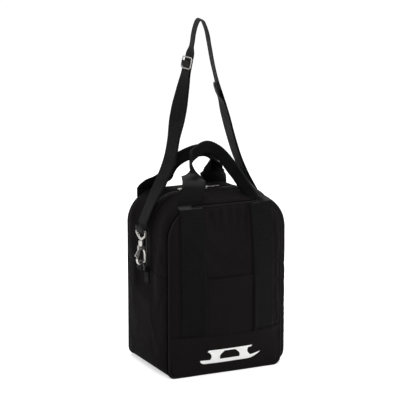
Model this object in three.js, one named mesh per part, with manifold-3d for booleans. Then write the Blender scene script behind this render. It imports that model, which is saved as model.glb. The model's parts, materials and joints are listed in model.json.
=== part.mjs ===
// Skate bag: an upright soft carrying bag that holds a pair of ice skates.
// Millimetres, +Z up. The origin is the centre of the bag's bottom face, the front faces -Y, and +X is to the right.
import * as THREE from 'three';
import { LoftGeometry } from 'three/addons/geometries/LoftGeometry.js';
import { mergeVertices } from 'three/addons/utils/BufferGeometryUtils.js';
import Module from 'manifold-3d';

const wasm = await Module();
wasm.setup();

// ---- driving dimensions ---------------------------------------------------------------------------------

const WIDTH = 265; // bag, left to right
const DEPTH = 212; // bag, front to back
const HEIGHT = 365; // bag, to the top edge of the front and back panels
const TOP_RADIUS = 68; // upper corners of the front and back panels
const BOTTOM_RADIUS = 18; // lower corners
const CROWN = 11; // rise of the top along the zip
const FRONT_BELLY = 24; // how far the middle of the front panel bulges
const BACK_BELLY = 13;
const BELLY_Z = 165; // height of the fullest part of both panels
const WALL = 4; // padded fabric
const GAP = 0.3; // clearance between sewn neighbours

const SIDE_SEAM_Z = 219; // where the zip panels end on each side
const FRONT_SEAM_Z = 90; // top of the front's lower panel
const POCKET_TOP_Z = 213;

const CORD_RADIUS = 2.4; // piping
const WEBBING = 52; // handle webbing, width
const WEBBING_THICKNESS = 2.2;
const STRIP_X = 81; // centre of each handle strip
const STRIP_TOP_Z = 361;
const HANDLE_PIVOT_Z = 363; // height of the fold line that each handle swings on

const TAPE_EDGE = 14; // outer edge of each zip tape, from the zip's centre line
const TAPE_INNER = 3;
const COIL_WIDTH = 5.2;

const STRAP_WIDTH = 38;
const STRAP_THICKNESS = 1.6;
const PLY_OFFSET = 2.3; // between the middles of two plies of strap

const RING_X = 146.5; // plane of each side ring, and axis of each hook
const RING_Z = 219; // middle of the ring's straight bar
const RING_RADIUS = 16;
const RING_WIRE = 2;

const HOOK_WIRE = 2.8;
const JAW_RADIUS = 9;
const JAW_Z = 236.5;
const NOSE_Z = 240.5;
const COLLAR_LOW_Z = 267;
const COLLAR_HIGH_Z = 279;
const GATE_PIN_Z = 262;
const EYE_BAR_Z = 300.8;
const EYE_BAR_RADIUS = 2.2;

// ---- materials ------------------------------------------------------------------------------------------

const material = (color, roughness, metalness = 0) => new THREE.MeshStandardMaterial({ color, roughness, metalness });
const polyester = () => material(0x1b191a, 0.85);
const cordFabric = () => material(0x141213, 0.6);
const webbing = () => material(0x191b1a, 0.75);
const zipTape = () => material(0x131213, 0.8);
const blackPlastic = () => material(0x121212, 0.45);
const nickel = () => material(0xc9c6c1, 0.28, 1);
const boardPlastic = () => material(0x2a2a2c, 0.6);
const whiteTransfer = () => material(0xf2f2f0, 0.5);

// ---- helpers --------------------------------------------------------------------------------------------

const bag = new THREE.Group();

function add(name, geometry, meshMaterial) {
  const mesh = new THREE.Mesh(geometry, meshMaterial);
  mesh.name = name;
  bag.add(mesh);
  return mesh;
}

const vec = (x, y, z) => new THREE.Vector3(x, y, z);

function signedVolume(geometry) {
  const position = geometry.getAttribute('position');
  const index = geometry.getIndex();
  const [a, b, c] = [vec(), vec(), vec()];
  let sum = 0;
  for (let i = 0; i < index.count; i += 3) {
    a.fromBufferAttribute(position, index.getX(i));
    b.fromBufferAttribute(position, index.getX(i + 1));
    c.fromBufferAttribute(position, index.getX(i + 2));
    sum += a.dot(b.cross(c));
  }
  return sum;
}

// A capped loft whose faces point outwards whichever way its sections wind.
function loft(sections) {
  const options = { capStart: true, capEnd: true };
  const geometry = new LoftGeometry(sections, options);
  if (signedVolume(geometry) > 0) return geometry;
  return new LoftGeometry(sections.map((section) => [...section].reverse()), options);
}

function toManifold(geometry) {
  const bare = geometry.clone();
  bare.deleteAttribute('normal');
  bare.deleteAttribute('uv');
  const indexed = mergeVertices(bare, 1e-4);
  return new wasm.Manifold(
    new wasm.Mesh({
      numProp: 3,
      vertProperties: new Float32Array(indexed.getAttribute('position').array),
      triVerts: new Uint32Array(indexed.getIndex().array),
    }),
  );
}

function fromManifold(solid) {
  const mesh = solid.getMesh();
  const geometry = new THREE.BufferGeometry();
  geometry.setAttribute('position', new THREE.BufferAttribute(new Float32Array(mesh.vertProperties), 3));
  geometry.setIndex(new THREE.BufferAttribute(new Uint32Array(mesh.triVerts), 1));
  geometry.computeVertexNormals();
  return geometry;
}

function join(first, ...others) {
  return fromManifold(others.reduce((solid, other) => solid.add(toManifold(other)), toManifold(first)));
}

function cut(body, ...tools) {
  return fromManifold(tools.reduce((solid, tool) => solid.subtract(toManifold(tool)), toManifold(body)));
}

function box(x0, x1, y0, y1, z0, z1) {
  const geometry = new THREE.BoxGeometry(x1 - x0, y1 - y0, z1 - z0);
  return geometry.translate((x0 + x1) / 2, (y0 + y1) / 2, (z0 + z1) / 2);
}

// A shape drawn in X and Z, standing between y0 and y1.
function plateXZ(shape, y0, y1, curveSegments = 6) {
  const geometry = new THREE.ExtrudeGeometry(shape, { depth: y1 - y0, bevelEnabled: false, curveSegments });
  return geometry.rotateX(Math.PI / 2).translate(0, y1, 0);
}

// A shape drawn in Y and Z, standing between x0 and x1.
function plateYZ(shape, x0, x1, curveSegments = 6) {
  const geometry = new THREE.ExtrudeGeometry(shape, { depth: x1 - x0, bevelEnabled: false, curveSegments });
  const toYZ = new THREE.Matrix4().makeBasis(vec(0, 1, 0), vec(0, 0, 1), vec(1, 0, 0));
  return geometry.applyMatrix4(toYZ).translate(x0, 0, 0);
}

// An upright cylinder about the vertical line through x, y.
function post(x, y, z0, z1, radius, sides = 16) {
  const geometry = new THREE.CylinderGeometry(radius, radius, z1 - z0, sides);
  return geometry.rotateX(Math.PI / 2).translate(x, y, (z0 + z1) / 2);
}

// A cylinder along Y.
function pinY(x, z, y0, y1, radius, sides = 12) {
  return new THREE.CylinderGeometry(radius, radius, y1 - y0, sides).translate(x, (y0 + y1) / 2, z);
}

function roundRod(curve, radius, steps, sides = 8) {
  const section = new THREE.Shape().absarc(0, 0, radius, 0, Math.PI * 2, false);
  return new THREE.ExtrudeGeometry(section, {
    steps,
    extrudePath: curve,
    bevelEnabled: false,
    curveSegments: sides,
  });
}

function mirrored(geometry) {
  const flipped = geometry.clone().scale(-1, 1, 1);
  const indexed = flipped.getIndex() ? flipped : mergeVertices(flipped, 1e-4);
  const index = indexed.getIndex();
  for (let i = 0; i < index.count; i += 3) {
    const first = index.getX(i);
    index.setX(i, index.getX(i + 2));
    index.setX(i + 2, first);
  }
  return indexed;
}

// ---- the bag's outline ----------------------------------------------------------------------------------

// Half the width of the front and back panels at height z, inset from the bag's outside.
function halfWidthAt(z, inset) {
  const half = WIDTH / 2;
  const arc = (radius, rise) => half - radius + Math.sqrt(Math.max((radius - inset) ** 2 - rise ** 2, 0));
  if (z < BOTTOM_RADIUS) return arc(BOTTOM_RADIUS, BOTTOM_RADIUS - z);
  if (z > HEIGHT - TOP_RADIUS) return arc(TOP_RADIUS, z - HEIGHT + TOP_RADIUS);
  return half - inset;
}

// Heights of a panel's rows between lowZ and highZ: close together at the round corners, wide apart between.
function rowHeights(inset, lowZ, highZ) {
  const cornerSteps = 5;
  const straightSteps = 8;
  const lowArc = BOTTOM_RADIUS;
  const highArc = HEIGHT - TOP_RADIUS;
  const heights = [];
  for (let i = 0; i <= cornerSteps; i += 1) {
    const angle = (i / cornerSteps) * (Math.PI / 2);
    heights.push(lowArc - Math.sin(angle) * (BOTTOM_RADIUS - inset));
    heights.push(highArc + Math.sin(angle) * (TOP_RADIUS - inset));
  }
  for (let i = 1; i < straightSteps; i += 1) heights.push(lowArc + ((highArc - lowArc) * i) / straightSteps);
  const closest = 1;
  const between = heights.filter((z) => z > lowZ + closest && z < highZ - closest).sort((a, b) => a - b);
  return [lowZ, ...between.filter((z, i) => i === 0 || z - between[i - 1] > closest), highZ];
}

// How far the front (side -1) or back (side 1) panel bulges at x, z. It is flat at its edges.
function bulgeAt(side, x, z) {
  const belly = side < 0 ? FRONT_BELLY : BACK_BELLY;
  const across = 1 - Math.min(Math.abs(x) / (WIDTH / 2), 1) ** 2;
  const fromMiddle = z < BELLY_Z ? (BELLY_Z - z) / BELLY_Z : (z - BELLY_Z) / (HEIGHT - BELLY_Z);
  const steepness = z < BELLY_Z ? 4 : 2.2;
  return belly * across * (1 - Math.min(fromMiddle, 1) ** steepness);
}

// A layer of cloth or webbing lying on the front or back panel. It covers leftAt(z) to rightAt(z) at each of the
// heights, and stands between the two offsets from the panel's face.
function bulgedLayer(side, leftAt, rightAt, heights, near, far, columns) {
  const section = (z) => {
    const run = Array.from({ length: columns + 1 }, (_, i) => leftAt(z) + ((rightAt(z) - leftAt(z)) * i) / columns);
    const point = (x, offset) => vec(x, side * (DEPTH / 2 + bulgeAt(side, x, z) + offset), z);
    return [...run.map((x) => point(x, far)), ...run.reverse().map((x) => point(x, near))];
  };
  return loft(heights.map(section));
}

// Stations over the top of the bag, from the left side seam to the right one: a point and its outward normal.
function archStations(startZ, arcSteps = 8) {
  const half = WIDTH / 2;
  const centreX = half - TOP_RADIUS;
  const centreZ = HEIGHT - TOP_RADIUS;
  const stations = [{ x: -half, z: startZ, nx: -1, nz: 0 }];
  for (const side of [-1, 1]) {
    for (let i = 0; i <= arcSteps; i += 1) {
      const share = side < 0 ? 1 - i / arcSteps : i / arcSteps;
      const angle = (share * Math.PI) / 2;
      const nx = side * Math.sin(angle);
      const nz = Math.cos(angle);
      stations.push({ x: side * centreX + nx * TOP_RADIUS, z: centreZ + nz * TOP_RADIUS, nx, nz });
    }
  }
  stations.push({ x: half, z: startZ, nx: 1, nz: 0 });
  return stations;
}

// Rise of the crowned top at distance y from the zip, where the outline faces nz upwards.
const crownAt = (y, nz) => CROWN * Math.cos((Math.PI * y) / DEPTH) * nz ** 3;

// A strip that runs over the top between y0 and y1. It is thickness thick, and its outside is raised by proud.
function archStrip(y0, y1, startZ, thickness, proud = 0, columns = 3) {
  const across = Array.from({ length: columns + 1 }, (_, i) => y0 + ((y1 - y0) * i) / columns);
  const point = (s, y, depth) => {
    const lift = crownAt(y, s.nz) + proud - depth;
    return vec(s.x + s.nx * lift, y, s.z + s.nz * lift);
  };
  const section = (s) => [
    ...across.map((y) => point(s, y, 0)),
    ...[...across].reverse().map((y) => point(s, y, thickness)),
  ];
  return loft(archStations(startZ).map(section));
}

// ---- shell: panels, gussets, piping and base ------------------------------------------------------------

const PANEL_INSET = CORD_RADIUS * 2 + 1.2;
const GUSSET_EDGE = DEPTH / 2 - CORD_RADIUS * 2 - 1.4;

const PANEL_COLUMNS = 12;

function panel(side, lowZ, highZ) {
  const left = (z) => -halfWidthAt(z, PANEL_INSET);
  const right = (z) => halfWidthAt(z, PANEL_INSET);
  return bulgedLayer(side, left, right, rowHeights(PANEL_INSET, lowZ, highZ), -WALL, 0, PANEL_COLUMNS);
}
const PANEL_LOW_Z = PANEL_INSET;
const PANEL_HIGH_Z = HEIGHT - PANEL_INSET;
add('front_panel', panel(-1, FRONT_SEAM_Z + GAP, PANEL_HIGH_Z), polyester());
add('front_lower_panel', panel(-1, PANEL_LOW_Z, FRONT_SEAM_Z - GAP), polyester());
add('back_panel', panel(1, PANEL_LOW_Z, PANEL_HIGH_Z), polyester());

const LAYER_GAP = 0.5; // between the panel and a layer sewn on it
const POCKET_HALF = STRIP_X - WEBBING / 2 - 0.5;
const POCKET_THICKNESS = 1.7;
const pocketRows = rowHeights(PANEL_INSET, FRONT_SEAM_Z + GAP, POCKET_TOP_Z);
const pocketColumns = 8;
add(
  'front_pocket_panel',
  bulgedLayer(
    -1,
    () => -POCKET_HALF,
    () => POCKET_HALF,
    pocketRows,
    LAYER_GAP,
    LAYER_GAP + POCKET_THICKNESS,
    pocketColumns,
  ),
  polyester(),
);

add('zip_gusset_front', archStrip(-GUSSET_EDGE, -TAPE_EDGE - GAP, SIDE_SEAM_Z + GAP, WALL), polyester());
add('zip_gusset_rear', archStrip(TAPE_EDGE + GAP, GUSSET_EDGE, SIDE_SEAM_Z + GAP, WALL), polyester());

// Side gusset: the side below the seam and the lower corner, as one bent strip.
function sideGusset() {
  const cornerSteps = 5;
  const outer = [[-WIDTH / 2, SIDE_SEAM_Z - GAP]];
  const inner = [[-WIDTH / 2 + WALL, SIDE_SEAM_Z - GAP]];
  for (let i = 0; i <= cornerSteps; i += 1) {
    const angle = Math.PI + (i / cornerSteps) * (Math.PI / 2);
    const centreX = -WIDTH / 2 + BOTTOM_RADIUS;
    outer.push([centreX + Math.cos(angle) * BOTTOM_RADIUS, BOTTOM_RADIUS * (1 + Math.sin(angle))]);
    const innerRadius = BOTTOM_RADIUS - WALL;
    inner.push([centreX + Math.cos(angle) * innerRadius, BOTTOM_RADIUS + Math.sin(angle) * innerRadius]);
  }
  const outline = [...outer, ...inner.reverse()].map(([x, z]) => new THREE.Vector2(x, z));
  return plateXZ(new THREE.Shape(outline), -GUSSET_EDGE, GUSSET_EDGE);
}
add('left_side_gusset', sideGusset(), polyester());
add('right_side_gusset', mirrored(sideGusset()), polyester());

const BOTTOM_HALF = WIDTH / 2 - BOTTOM_RADIUS - GAP;
add('bottom_panel', box(-BOTTOM_HALF, BOTTOM_HALF, -GUSSET_EDGE, GUSSET_EDGE, 0, WALL), polyester());
const BOARD_HALF_X = 110;
const BOARD_HALF_Y = 96;
const BOARD_THICKNESS = 3;
add(
  'base_board',
  box(-BOARD_HALF_X, BOARD_HALF_X, -BOARD_HALF_Y, BOARD_HALF_Y, WALL + GAP, WALL + GAP + BOARD_THICKNESS),
  boardPlastic(),
);

// Piping cord round a panel's edge. Its two ends butt at the middle of the bottom.
function pipingPath(y) {
  const inset = CORD_RADIUS + 0.2;
  const half = WIDTH / 2 - inset;
  const top = HEIGHT - inset;
  const topRadius = TOP_RADIUS - inset;
  const bottomRadius = BOTTOM_RADIUS - inset;
  const path = new THREE.CurvePath();
  const line = (x0, z0, x1, z1) => path.add(new THREE.LineCurve3(vec(x0, y, z0), vec(x1, y, z1)));
  const bend = (x0, z0, cornerX, cornerZ, x1, z1) => {
    const roundness = 0.5523; // handle length of a cubic curve that follows a quarter circle
    const start = vec(x0, y, z0);
    const corner = vec(cornerX, y, cornerZ);
    const end = vec(x1, y, z1);
    const handleA = start.clone().lerp(corner, roundness);
    const handleB = end.clone().lerp(corner, roundness);
    path.add(new THREE.CubicBezierCurve3(start, handleA, handleB, end));
  };
  line(-1, inset, -half + bottomRadius, inset);
  bend(-half + bottomRadius, inset, -half, inset, -half, inset + bottomRadius);
  line(-half, inset + bottomRadius, -half, top - topRadius);
  bend(-half, top - topRadius, -half, top, -half + topRadius, top);
  line(-half + topRadius, top, half - topRadius, top);
  bend(half - topRadius, top, half, top, half, top - topRadius);
  line(half, top - topRadius, half, inset + bottomRadius);
  bend(half, inset + bottomRadius, half, inset, half - bottomRadius, inset);
  line(half - bottomRadius, inset, 1, inset);
  return path;
}

// Sections are placed where the path bends, so straight runs cost nothing.
function piping(y) {
  const sides = 6;
  const bendSteps = 6;
  const path = pipingPath(y);
  const sections = [];
  path.curves.forEach((curve) => {
    const steps = curve.type === 'LineCurve3' ? 1 : bendSteps;
    for (let i = sections.length ? 1 : 0; i <= steps; i += 1) {
      const centre = curve.getPoint(i / steps);
      const tangent = curve.getTangent(i / steps);
      const inPlane = vec(0, 1, 0).cross(tangent).normalize();
      const ring = [];
      for (let k = 0; k < sides; k += 1) {
        const angle = (k / sides) * Math.PI * 2;
        const offset = inPlane.clone().multiplyScalar(Math.cos(angle) * CORD_RADIUS);
        ring.push(centre.clone().add(offset).add(vec(0, Math.sin(angle) * CORD_RADIUS, 0)));
      }
      sections.push(ring);
    }
  });
  return loft(sections);
}
const PIPING_Y = DEPTH / 2 - CORD_RADIUS - 1.1;
add('front_piping', piping(-PIPING_Y), cordFabric());
add('rear_piping', piping(PIPING_Y), cordFabric());

// ---- zip ------------------------------------------------------------------------------------------------

const TAPE_THICKNESS = 1.2;
const COIL_RAISE = 1.0;
add('zip_tape_front', archStrip(-TAPE_EDGE, -TAPE_INNER, SIDE_SEAM_Z + GAP, TAPE_THICKNESS, 0, 1), zipTape());
add('zip_tape_rear', archStrip(TAPE_INNER, TAPE_EDGE, SIDE_SEAM_Z + GAP, TAPE_THICKNESS, 0, 1), zipTape());
add('zip_coil', archStrip(-COIL_WIDTH / 2, COIL_WIDTH / 2, SIDE_SEAM_Z + GAP, 2.2, COIL_RAISE, 1), zipTape());

const ZIP_TOP_Z = HEIGHT + CROWN; // the outside of the tapes, along the middle of the top
const SLIDER_LENGTH = 18;
const SLIDER_WIDTH = 12;
const SLIDER_LOW_Z = ZIP_TOP_Z + COIL_RAISE + GAP;
const SLIDER_HIGH_Z = SLIDER_LOW_Z + 2.2;
const BRIDGE_HIGH_Z = SLIDER_HIGH_Z + 4.6;
const PULL_AXIS_Z = SLIDER_HIGH_Z + 1.8;
const PULL_LENGTH = 40;
const PULL_WIDTH = 9;
const LEFT_SLIDER_X = -22.5;
const RIGHT_SLIDER_X = -2.5;

// Slider body with a bridge over its top that holds the pull. It points away from the middle of the zip.
function zipSlider(x) {
  const half = SLIDER_LENGTH / 2;
  const top = new THREE.Shape();
  top.moveTo(-half, -SLIDER_WIDTH / 2 + 2);
  top.quadraticCurveTo(0, -SLIDER_WIDTH / 2 - 1.5, half, -SLIDER_WIDTH / 2 + 1);
  top.lineTo(half, SLIDER_WIDTH / 2 - 1);
  top.quadraticCurveTo(0, SLIDER_WIDTH / 2 + 1.5, -half, SLIDER_WIDTH / 2 - 2);
  top.closePath();
  const plate = new THREE.ExtrudeGeometry(top, {
    depth: SLIDER_HIGH_Z - SLIDER_LOW_Z,
    bevelEnabled: false,
    curveSegments: 4,
  });
  plate.translate(x, 0, SLIDER_LOW_Z);
  const bridge = new THREE.Shape();
  bridge.moveTo(-7, SLIDER_HIGH_Z - 0.5);
  bridge.lineTo(7, SLIDER_HIGH_Z - 0.5);
  bridge.lineTo(5.5, BRIDGE_HIGH_Z - 1);
  bridge.lineTo(4, BRIDGE_HIGH_Z);
  bridge.lineTo(-4, BRIDGE_HIGH_Z);
  bridge.lineTo(-5.5, BRIDGE_HIGH_Z - 1);
  bridge.closePath();
  const eye = new THREE.Path().absellipse(0, PULL_AXIS_Z, 3.6, 1.5, 0, Math.PI * 2, true);
  bridge.holes.push(eye);
  return join(plate, plateXZ(bridge, -1.5, 1.5, 5).translate(x, 0, 0));
}

// Pull: a flat tab with a window at its end, whose cross bar passes under the slider's bridge.
function zipPull(x, direction) {
  const thickness = 1.6;
  const shape = new THREE.Shape();
  shape.moveTo(-1, -PULL_WIDTH / 2);
  shape.lineTo(PULL_LENGTH - 5, -PULL_WIDTH / 2);
  shape.quadraticCurveTo(PULL_LENGTH + 4, 0, PULL_LENGTH - 5, PULL_WIDTH / 2);
  shape.lineTo(-1, PULL_WIDTH / 2);
  shape.closePath();
  const window = new THREE.Path();
  window.moveTo(1, -2.2);
  window.lineTo(1, 2.2);
  window.lineTo(11, 2.2);
  window.lineTo(11, -2.2);
  window.closePath();
  shape.holes.push(window);
  const geometry = new THREE.ExtrudeGeometry(shape, { depth: thickness, bevelEnabled: false, curveSegments: 5 });
  if (direction < 0) geometry.rotateZ(Math.PI);
  return geometry.translate(x, 0, PULL_AXIS_Z - thickness / 2);
}
add('left_zip_slider', zipSlider(LEFT_SLIDER_X), nickel());
add('right_zip_slider', zipSlider(RIGHT_SLIDER_X), nickel());
add('left_zip_pull', zipPull(LEFT_SLIDER_X, -1), nickel());
add('right_zip_pull', zipPull(RIGHT_SLIDER_X, 1), nickel());

// ---- webbing strips and handles -------------------------------------------------------------------------

const stripRows = rowHeights(PANEL_INSET, FRONT_SEAM_Z + GAP, STRIP_TOP_Z);
const stripColumns = 4;
for (const [face, side] of [['front', -1], ['rear', 1]]) {
  for (const [hand, x] of [['left', -STRIP_X], ['right', STRIP_X]]) {
    const left = () => x - WEBBING / 2;
    const right = () => x + WEBBING / 2;
    const far = LAYER_GAP + WEBBING_THICKNESS;
    add(`${face}_${hand}_strip`, bulgedLayer(side, left, right, stripRows, LAYER_GAP, far, stripColumns), webbing());
  }
}

// A band of webbing through points, with stepsPerPoint sections from each point to the next. widthAt and
// thicknessAt give its size at each share of the run, and widthDirection its flat direction from the tangent.
function band(points, stepsPerPoint, widthAt, thicknessAt, widthDirection) {
  const curve = new THREE.CatmullRomCurve3(points, false, 'centripetal');
  const steps = (points.length - 1) * stepsPerPoint;
  const sections = [];
  for (let i = 0; i <= steps; i += 1) {
    const share = i / steps;
    const centre = curve.getPoint(share);
    const tangent = curve.getTangent(share);
    const wide = widthDirection(tangent, share).normalize();
    const flat = tangent.clone().cross(wide).normalize();
    const halfWide = wide.multiplyScalar(widthAt(share) / 2);
    const halfFlat = flat.multiplyScalar(thicknessAt(share) / 2);
    sections.push([
      centre.clone().add(halfWide).add(halfFlat),
      centre.clone().sub(halfWide).add(halfFlat),
      centre.clone().sub(halfWide).sub(halfFlat),
      centre.clone().add(halfWide).sub(halfFlat),
    ]);
  }
  return loft(sections);
}

const HANDLE_Y = DEPTH / 2 + GAP + WEBBING_THICKNESS / 2;
const HANDLE_BASE_Z = HANDLE_PIVOT_Z + 1.6;
const GRIP_WIDTH = 27; // webbing folded in half
const GRIP_THICKNESS = 4.8;

// The webbing is flat on its legs and folded in half along the grip. It leaves the bag square to the top edge.
function handle(points) {
  const fromEnd = (s) => 0.5 - Math.abs(s - 0.5);
  const gripShare = (s) => THREE.MathUtils.smoothstep(fromEnd(s), 0.2, 0.34);
  const turnedShare = (s) => THREE.MathUtils.smoothstep(fromEnd(s), 0.14, 0.32);
  const widthDirection = (tangent, s) => {
    const atBase = vec(Math.sign(0.5 - s) || 1, 0, 0);
    return atBase.lerp(tangent.clone().cross(vec(0, -1, 0)).normalize(), turnedShare(s));
  };
  return band(
    points,
    2,
    (s) => THREE.MathUtils.lerp(WEBBING, GRIP_WIDTH, gripShare(s)),
    (s) => THREE.MathUtils.lerp(WEBBING_THICKNESS, GRIP_THICKNESS, gripShare(s)),
    widthDirection,
  );
}

const FRONT_HANDLE = [
  vec(-STRIP_X, -HANDLE_Y, HANDLE_BASE_Z),
  vec(-80, -105.5, 370),
  vec(-75, -98, 381),
  vec(-64, -82, 401),
  vec(-55, -62, 417),
  vec(-49, -40, 433),
  vec(-40, -22, 451),
  vec(-22, -14, 462),
  vec(2, -10, 465),
  vec(24, -12, 457),
  vec(40, -19, 443),
  vec(53, -31, 427),
  vec(64, -48, 410),
  vec(72, -66, 394),
  vec(78, -86, 381),
  vec(80.5, -101, 372.5),
  vec(STRIP_X, -106.5, 368),
  vec(STRIP_X, -HANDLE_Y, HANDLE_BASE_Z),
];
const REAR_HANDLE = [
  vec(-STRIP_X, HANDLE_Y, HANDLE_BASE_Z),
  vec(-81.5, 106, 369),
  vec(-82, 99, 377),
  vec(-80, 84, 388),
  vec(-74, 65, 400),
  vec(-66, 46, 417),
  vec(-53, 28, 437),
  vec(-35, 15, 450),
  vec(-14, 8, 458),
  vec(10, 8, 457),
  vec(26, 15, 448),
  vec(36, 27, 434),
  vec(42, 45, 416),
  vec(51, 65, 402),
  vec(63, 86, 389),
  vec(75, 100, 378),
  vec(80, 106, 369),
  vec(STRIP_X, HANDLE_Y, HANDLE_BASE_Z),
];
add('front_handle', handle(FRONT_HANDLE), webbing());
add('rear_handle', handle(REAR_HANDLE), webbing());

// ---- side rings and the tabs that hold them -------------------------------------------------------------

// Ring: a half-round bow with a straight bar across its foot, drawn at the left side.
function sideRing() {
  const bowSteps = 14;
  const points = [];
  for (let i = 0; i <= bowSteps; i += 1) {
    const angle = (i / bowSteps) * Math.PI;
    points.push(vec(-RING_X, Math.cos(angle) * RING_RADIUS, RING_Z + Math.sin(angle) * RING_RADIUS));
  }
  const bow = roundRod(new THREE.CatmullRomCurve3(points), RING_WIRE, bowSteps);
  const bar = pinY(-RING_X, RING_Z, -RING_RADIUS - RING_WIRE, RING_RADIUS + RING_WIRE, RING_WIRE + 0.1);
  return join(bow, bar);
}

// Tab: webbing folded round the ring's bar and sewn flat on the side below the seam.
function sideTab() {
  const halfWidth = 11;
  const loopOuter = 4.3;
  const loopInner = 2.6;
  const wallX = -WIDTH / 2 - GAP;
  const shape = new THREE.Shape();
  shape.moveTo(wallX, 186);
  shape.lineTo(wallX, 216);
  shape.lineTo(wallX - 3, 221);
  shape.lineTo(-RING_X, RING_Z + loopOuter);
  shape.absarc(-RING_X, RING_Z, loopOuter, Math.PI / 2, Math.PI * 1.5, false);
  shape.lineTo(wallX - 2.4, 210);
  shape.lineTo(wallX - 2.4, 186);
  shape.closePath();
  shape.holes.push(new THREE.Path().absarc(-RING_X, RING_Z, loopInner, 0, Math.PI * 2, true));
  return plateXZ(shape, -halfWidth, halfWidth, 6);
}
add('left_ring', sideRing(), blackPlastic());
add('right_ring', mirrored(sideRing()), blackPlastic());
add('left_ring_tab', sideTab(), webbing());
add('right_ring_tab', mirrored(sideTab()), webbing());

// ---- snap hooks, drawn at the left side -----------------------------------------------------------------

const STUD_RADIUS = 2.2;
const STUD_CLEARANCE = 0.35;
const STUD_HEAD_RADIUS = 3.2;
const STUD_HEAD_LOW_Z = 269.6;
const STUD_HEAD_HIGH_Z = 272;
const COLLAR_RADIUS = 5.6;
const GATE_PIN_X = -RING_X - 3.4;
const GATE_PIN_RADIUS = 1.2;

// Swivel eye: the flat loop that takes the strap, with the stud that the hook turns on.
function swivelEye() {
  const halfOut = 24;
  const halfIn = 20.2;
  const outline = new THREE.Shape();
  outline.moveTo(-6, 280.5);
  outline.lineTo(6, 280.5);
  outline.lineTo(halfOut - 2, 289);
  outline.lineTo(halfOut, 292);
  outline.lineTo(halfOut, EYE_BAR_Z + EYE_BAR_RADIUS);
  outline.lineTo(-halfOut, EYE_BAR_Z + EYE_BAR_RADIUS);
  outline.lineTo(-halfOut, 292);
  outline.lineTo(-halfOut + 2, 289);
  outline.closePath();
  const window = new THREE.Path();
  window.moveTo(-halfIn, 293);
  window.lineTo(-halfIn, EYE_BAR_Z - EYE_BAR_RADIUS);
  window.lineTo(halfIn, EYE_BAR_Z - EYE_BAR_RADIUS);
  window.lineTo(halfIn, 293);
  window.lineTo(6, 285.5);
  window.lineTo(-6, 285.5);
  window.closePath();
  outline.holes.push(window);
  const loop = plateYZ(outline, -RING_X - 1.9, -RING_X + 1.9);
  const stud = post(-RING_X, 0, STUD_HEAD_LOW_Z + 0.6, 282, STUD_RADIUS);
  const head = post(-RING_X, 0, STUD_HEAD_LOW_Z + 0.4, STUD_HEAD_HIGH_Z - 0.2, STUD_HEAD_RADIUS);
  return join(loop, stud, head);
}

// Hook body: a collar over the stud, a shoulder that holds the gate's pin, and a wire jaw.
function hookBody() {
  const points = [
    vec(-RING_X + 1, 0, COLLAR_LOW_Z + 1),
    vec(-RING_X + 5, 0, 261),
    vec(-RING_X + 8.4, 0, 252),
    vec(-RING_X + JAW_RADIUS, 0, JAW_Z + 4),
  ];
  const arcSteps = 10;
  for (let i = 0; i <= arcSteps; i += 1) {
    const angle = -(i / arcSteps) * Math.PI;
    points.push(vec(-RING_X + Math.cos(angle) * JAW_RADIUS, 0, JAW_Z + Math.sin(angle) * JAW_RADIUS));
  }
  points.push(vec(-RING_X - JAW_RADIUS, 0, NOSE_Z));
  const jaw = roundRod(new THREE.CatmullRomCurve3(points, false, 'centripetal'), HOOK_WIRE, 26);
  const collar = post(-RING_X, 0, COLLAR_LOW_Z, COLLAR_HIGH_Z, COLLAR_RADIUS);
  const shoulder = box(-RING_X - 7.4, -RING_X + 6, -3.2, 3.2, 258.5, COLLAR_LOW_Z + 0.5);
  const gateSlot = box(-RING_X - 14, -RING_X + 1.2, -1.7, 1.7, 250, COLLAR_LOW_Z - 1);
  const studBore = post(-RING_X, 0, STUD_HEAD_LOW_Z, COLLAR_HIGH_Z + 1, STUD_RADIUS + STUD_CLEARANCE);
  const headRoom = post(-RING_X, 0, STUD_HEAD_LOW_Z, STUD_HEAD_HIGH_Z + 0.2, STUD_HEAD_RADIUS + STUD_CLEARANCE);
  const pinBore = pinY(GATE_PIN_X, GATE_PIN_Z, -4, 4, GATE_PIN_RADIUS + GAP);
  return cut(join(jaw, collar, shoulder), gateSlot, studBore, headRoom, pinBore);
}

// Gate: a sprung flat lever that closes the jaw, with a thumb piece on its outer edge.
function hookGate() {
  const shape = new THREE.Shape();
  shape.moveTo(-RING_X - JAW_RADIUS + 2.4, NOSE_Z + 0.7);
  shape.lineTo(GATE_PIN_X + 2.8, GATE_PIN_Z - 1.5);
  shape.absarc(GATE_PIN_X, GATE_PIN_Z, 3, -0.5, Math.PI, false);
  shape.lineTo(-RING_X - JAW_RADIUS - 1.5, 254);
  shape.lineTo(-RING_X - JAW_RADIUS - 5.6, 247.5);
  shape.lineTo(-RING_X - JAW_RADIUS - 5.6, 245);
  shape.lineTo(-RING_X - JAW_RADIUS - 2.6, 244.6);
  shape.lineTo(-RING_X - JAW_RADIUS - 2.2, NOSE_Z + 2);
  shape.closePath();
  shape.holes.push(
    new THREE.Path().absarc(GATE_PIN_X, GATE_PIN_Z, GATE_PIN_RADIUS + GAP, 0, Math.PI * 2, true),
  );
  return plateXZ(shape, -1.35, 1.35, 8);
}

const gatePin = pinY(GATE_PIN_X, GATE_PIN_Z, -3.6, 3.6, GATE_PIN_RADIUS);
const hookParts = {
  swivel_eye: swivelEye(),
  hook_body: hookBody(),
  hook_gate: hookGate(),
  gate_pin: gatePin,
};
for (const [name, geometry] of Object.entries(hookParts)) {
  add(`left_${name}`, geometry, nickel());
  add(`right_${name}`, mirrored(geometry), nickel());
}

// ---- shoulder strap -------------------------------------------------------------------------------------

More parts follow.
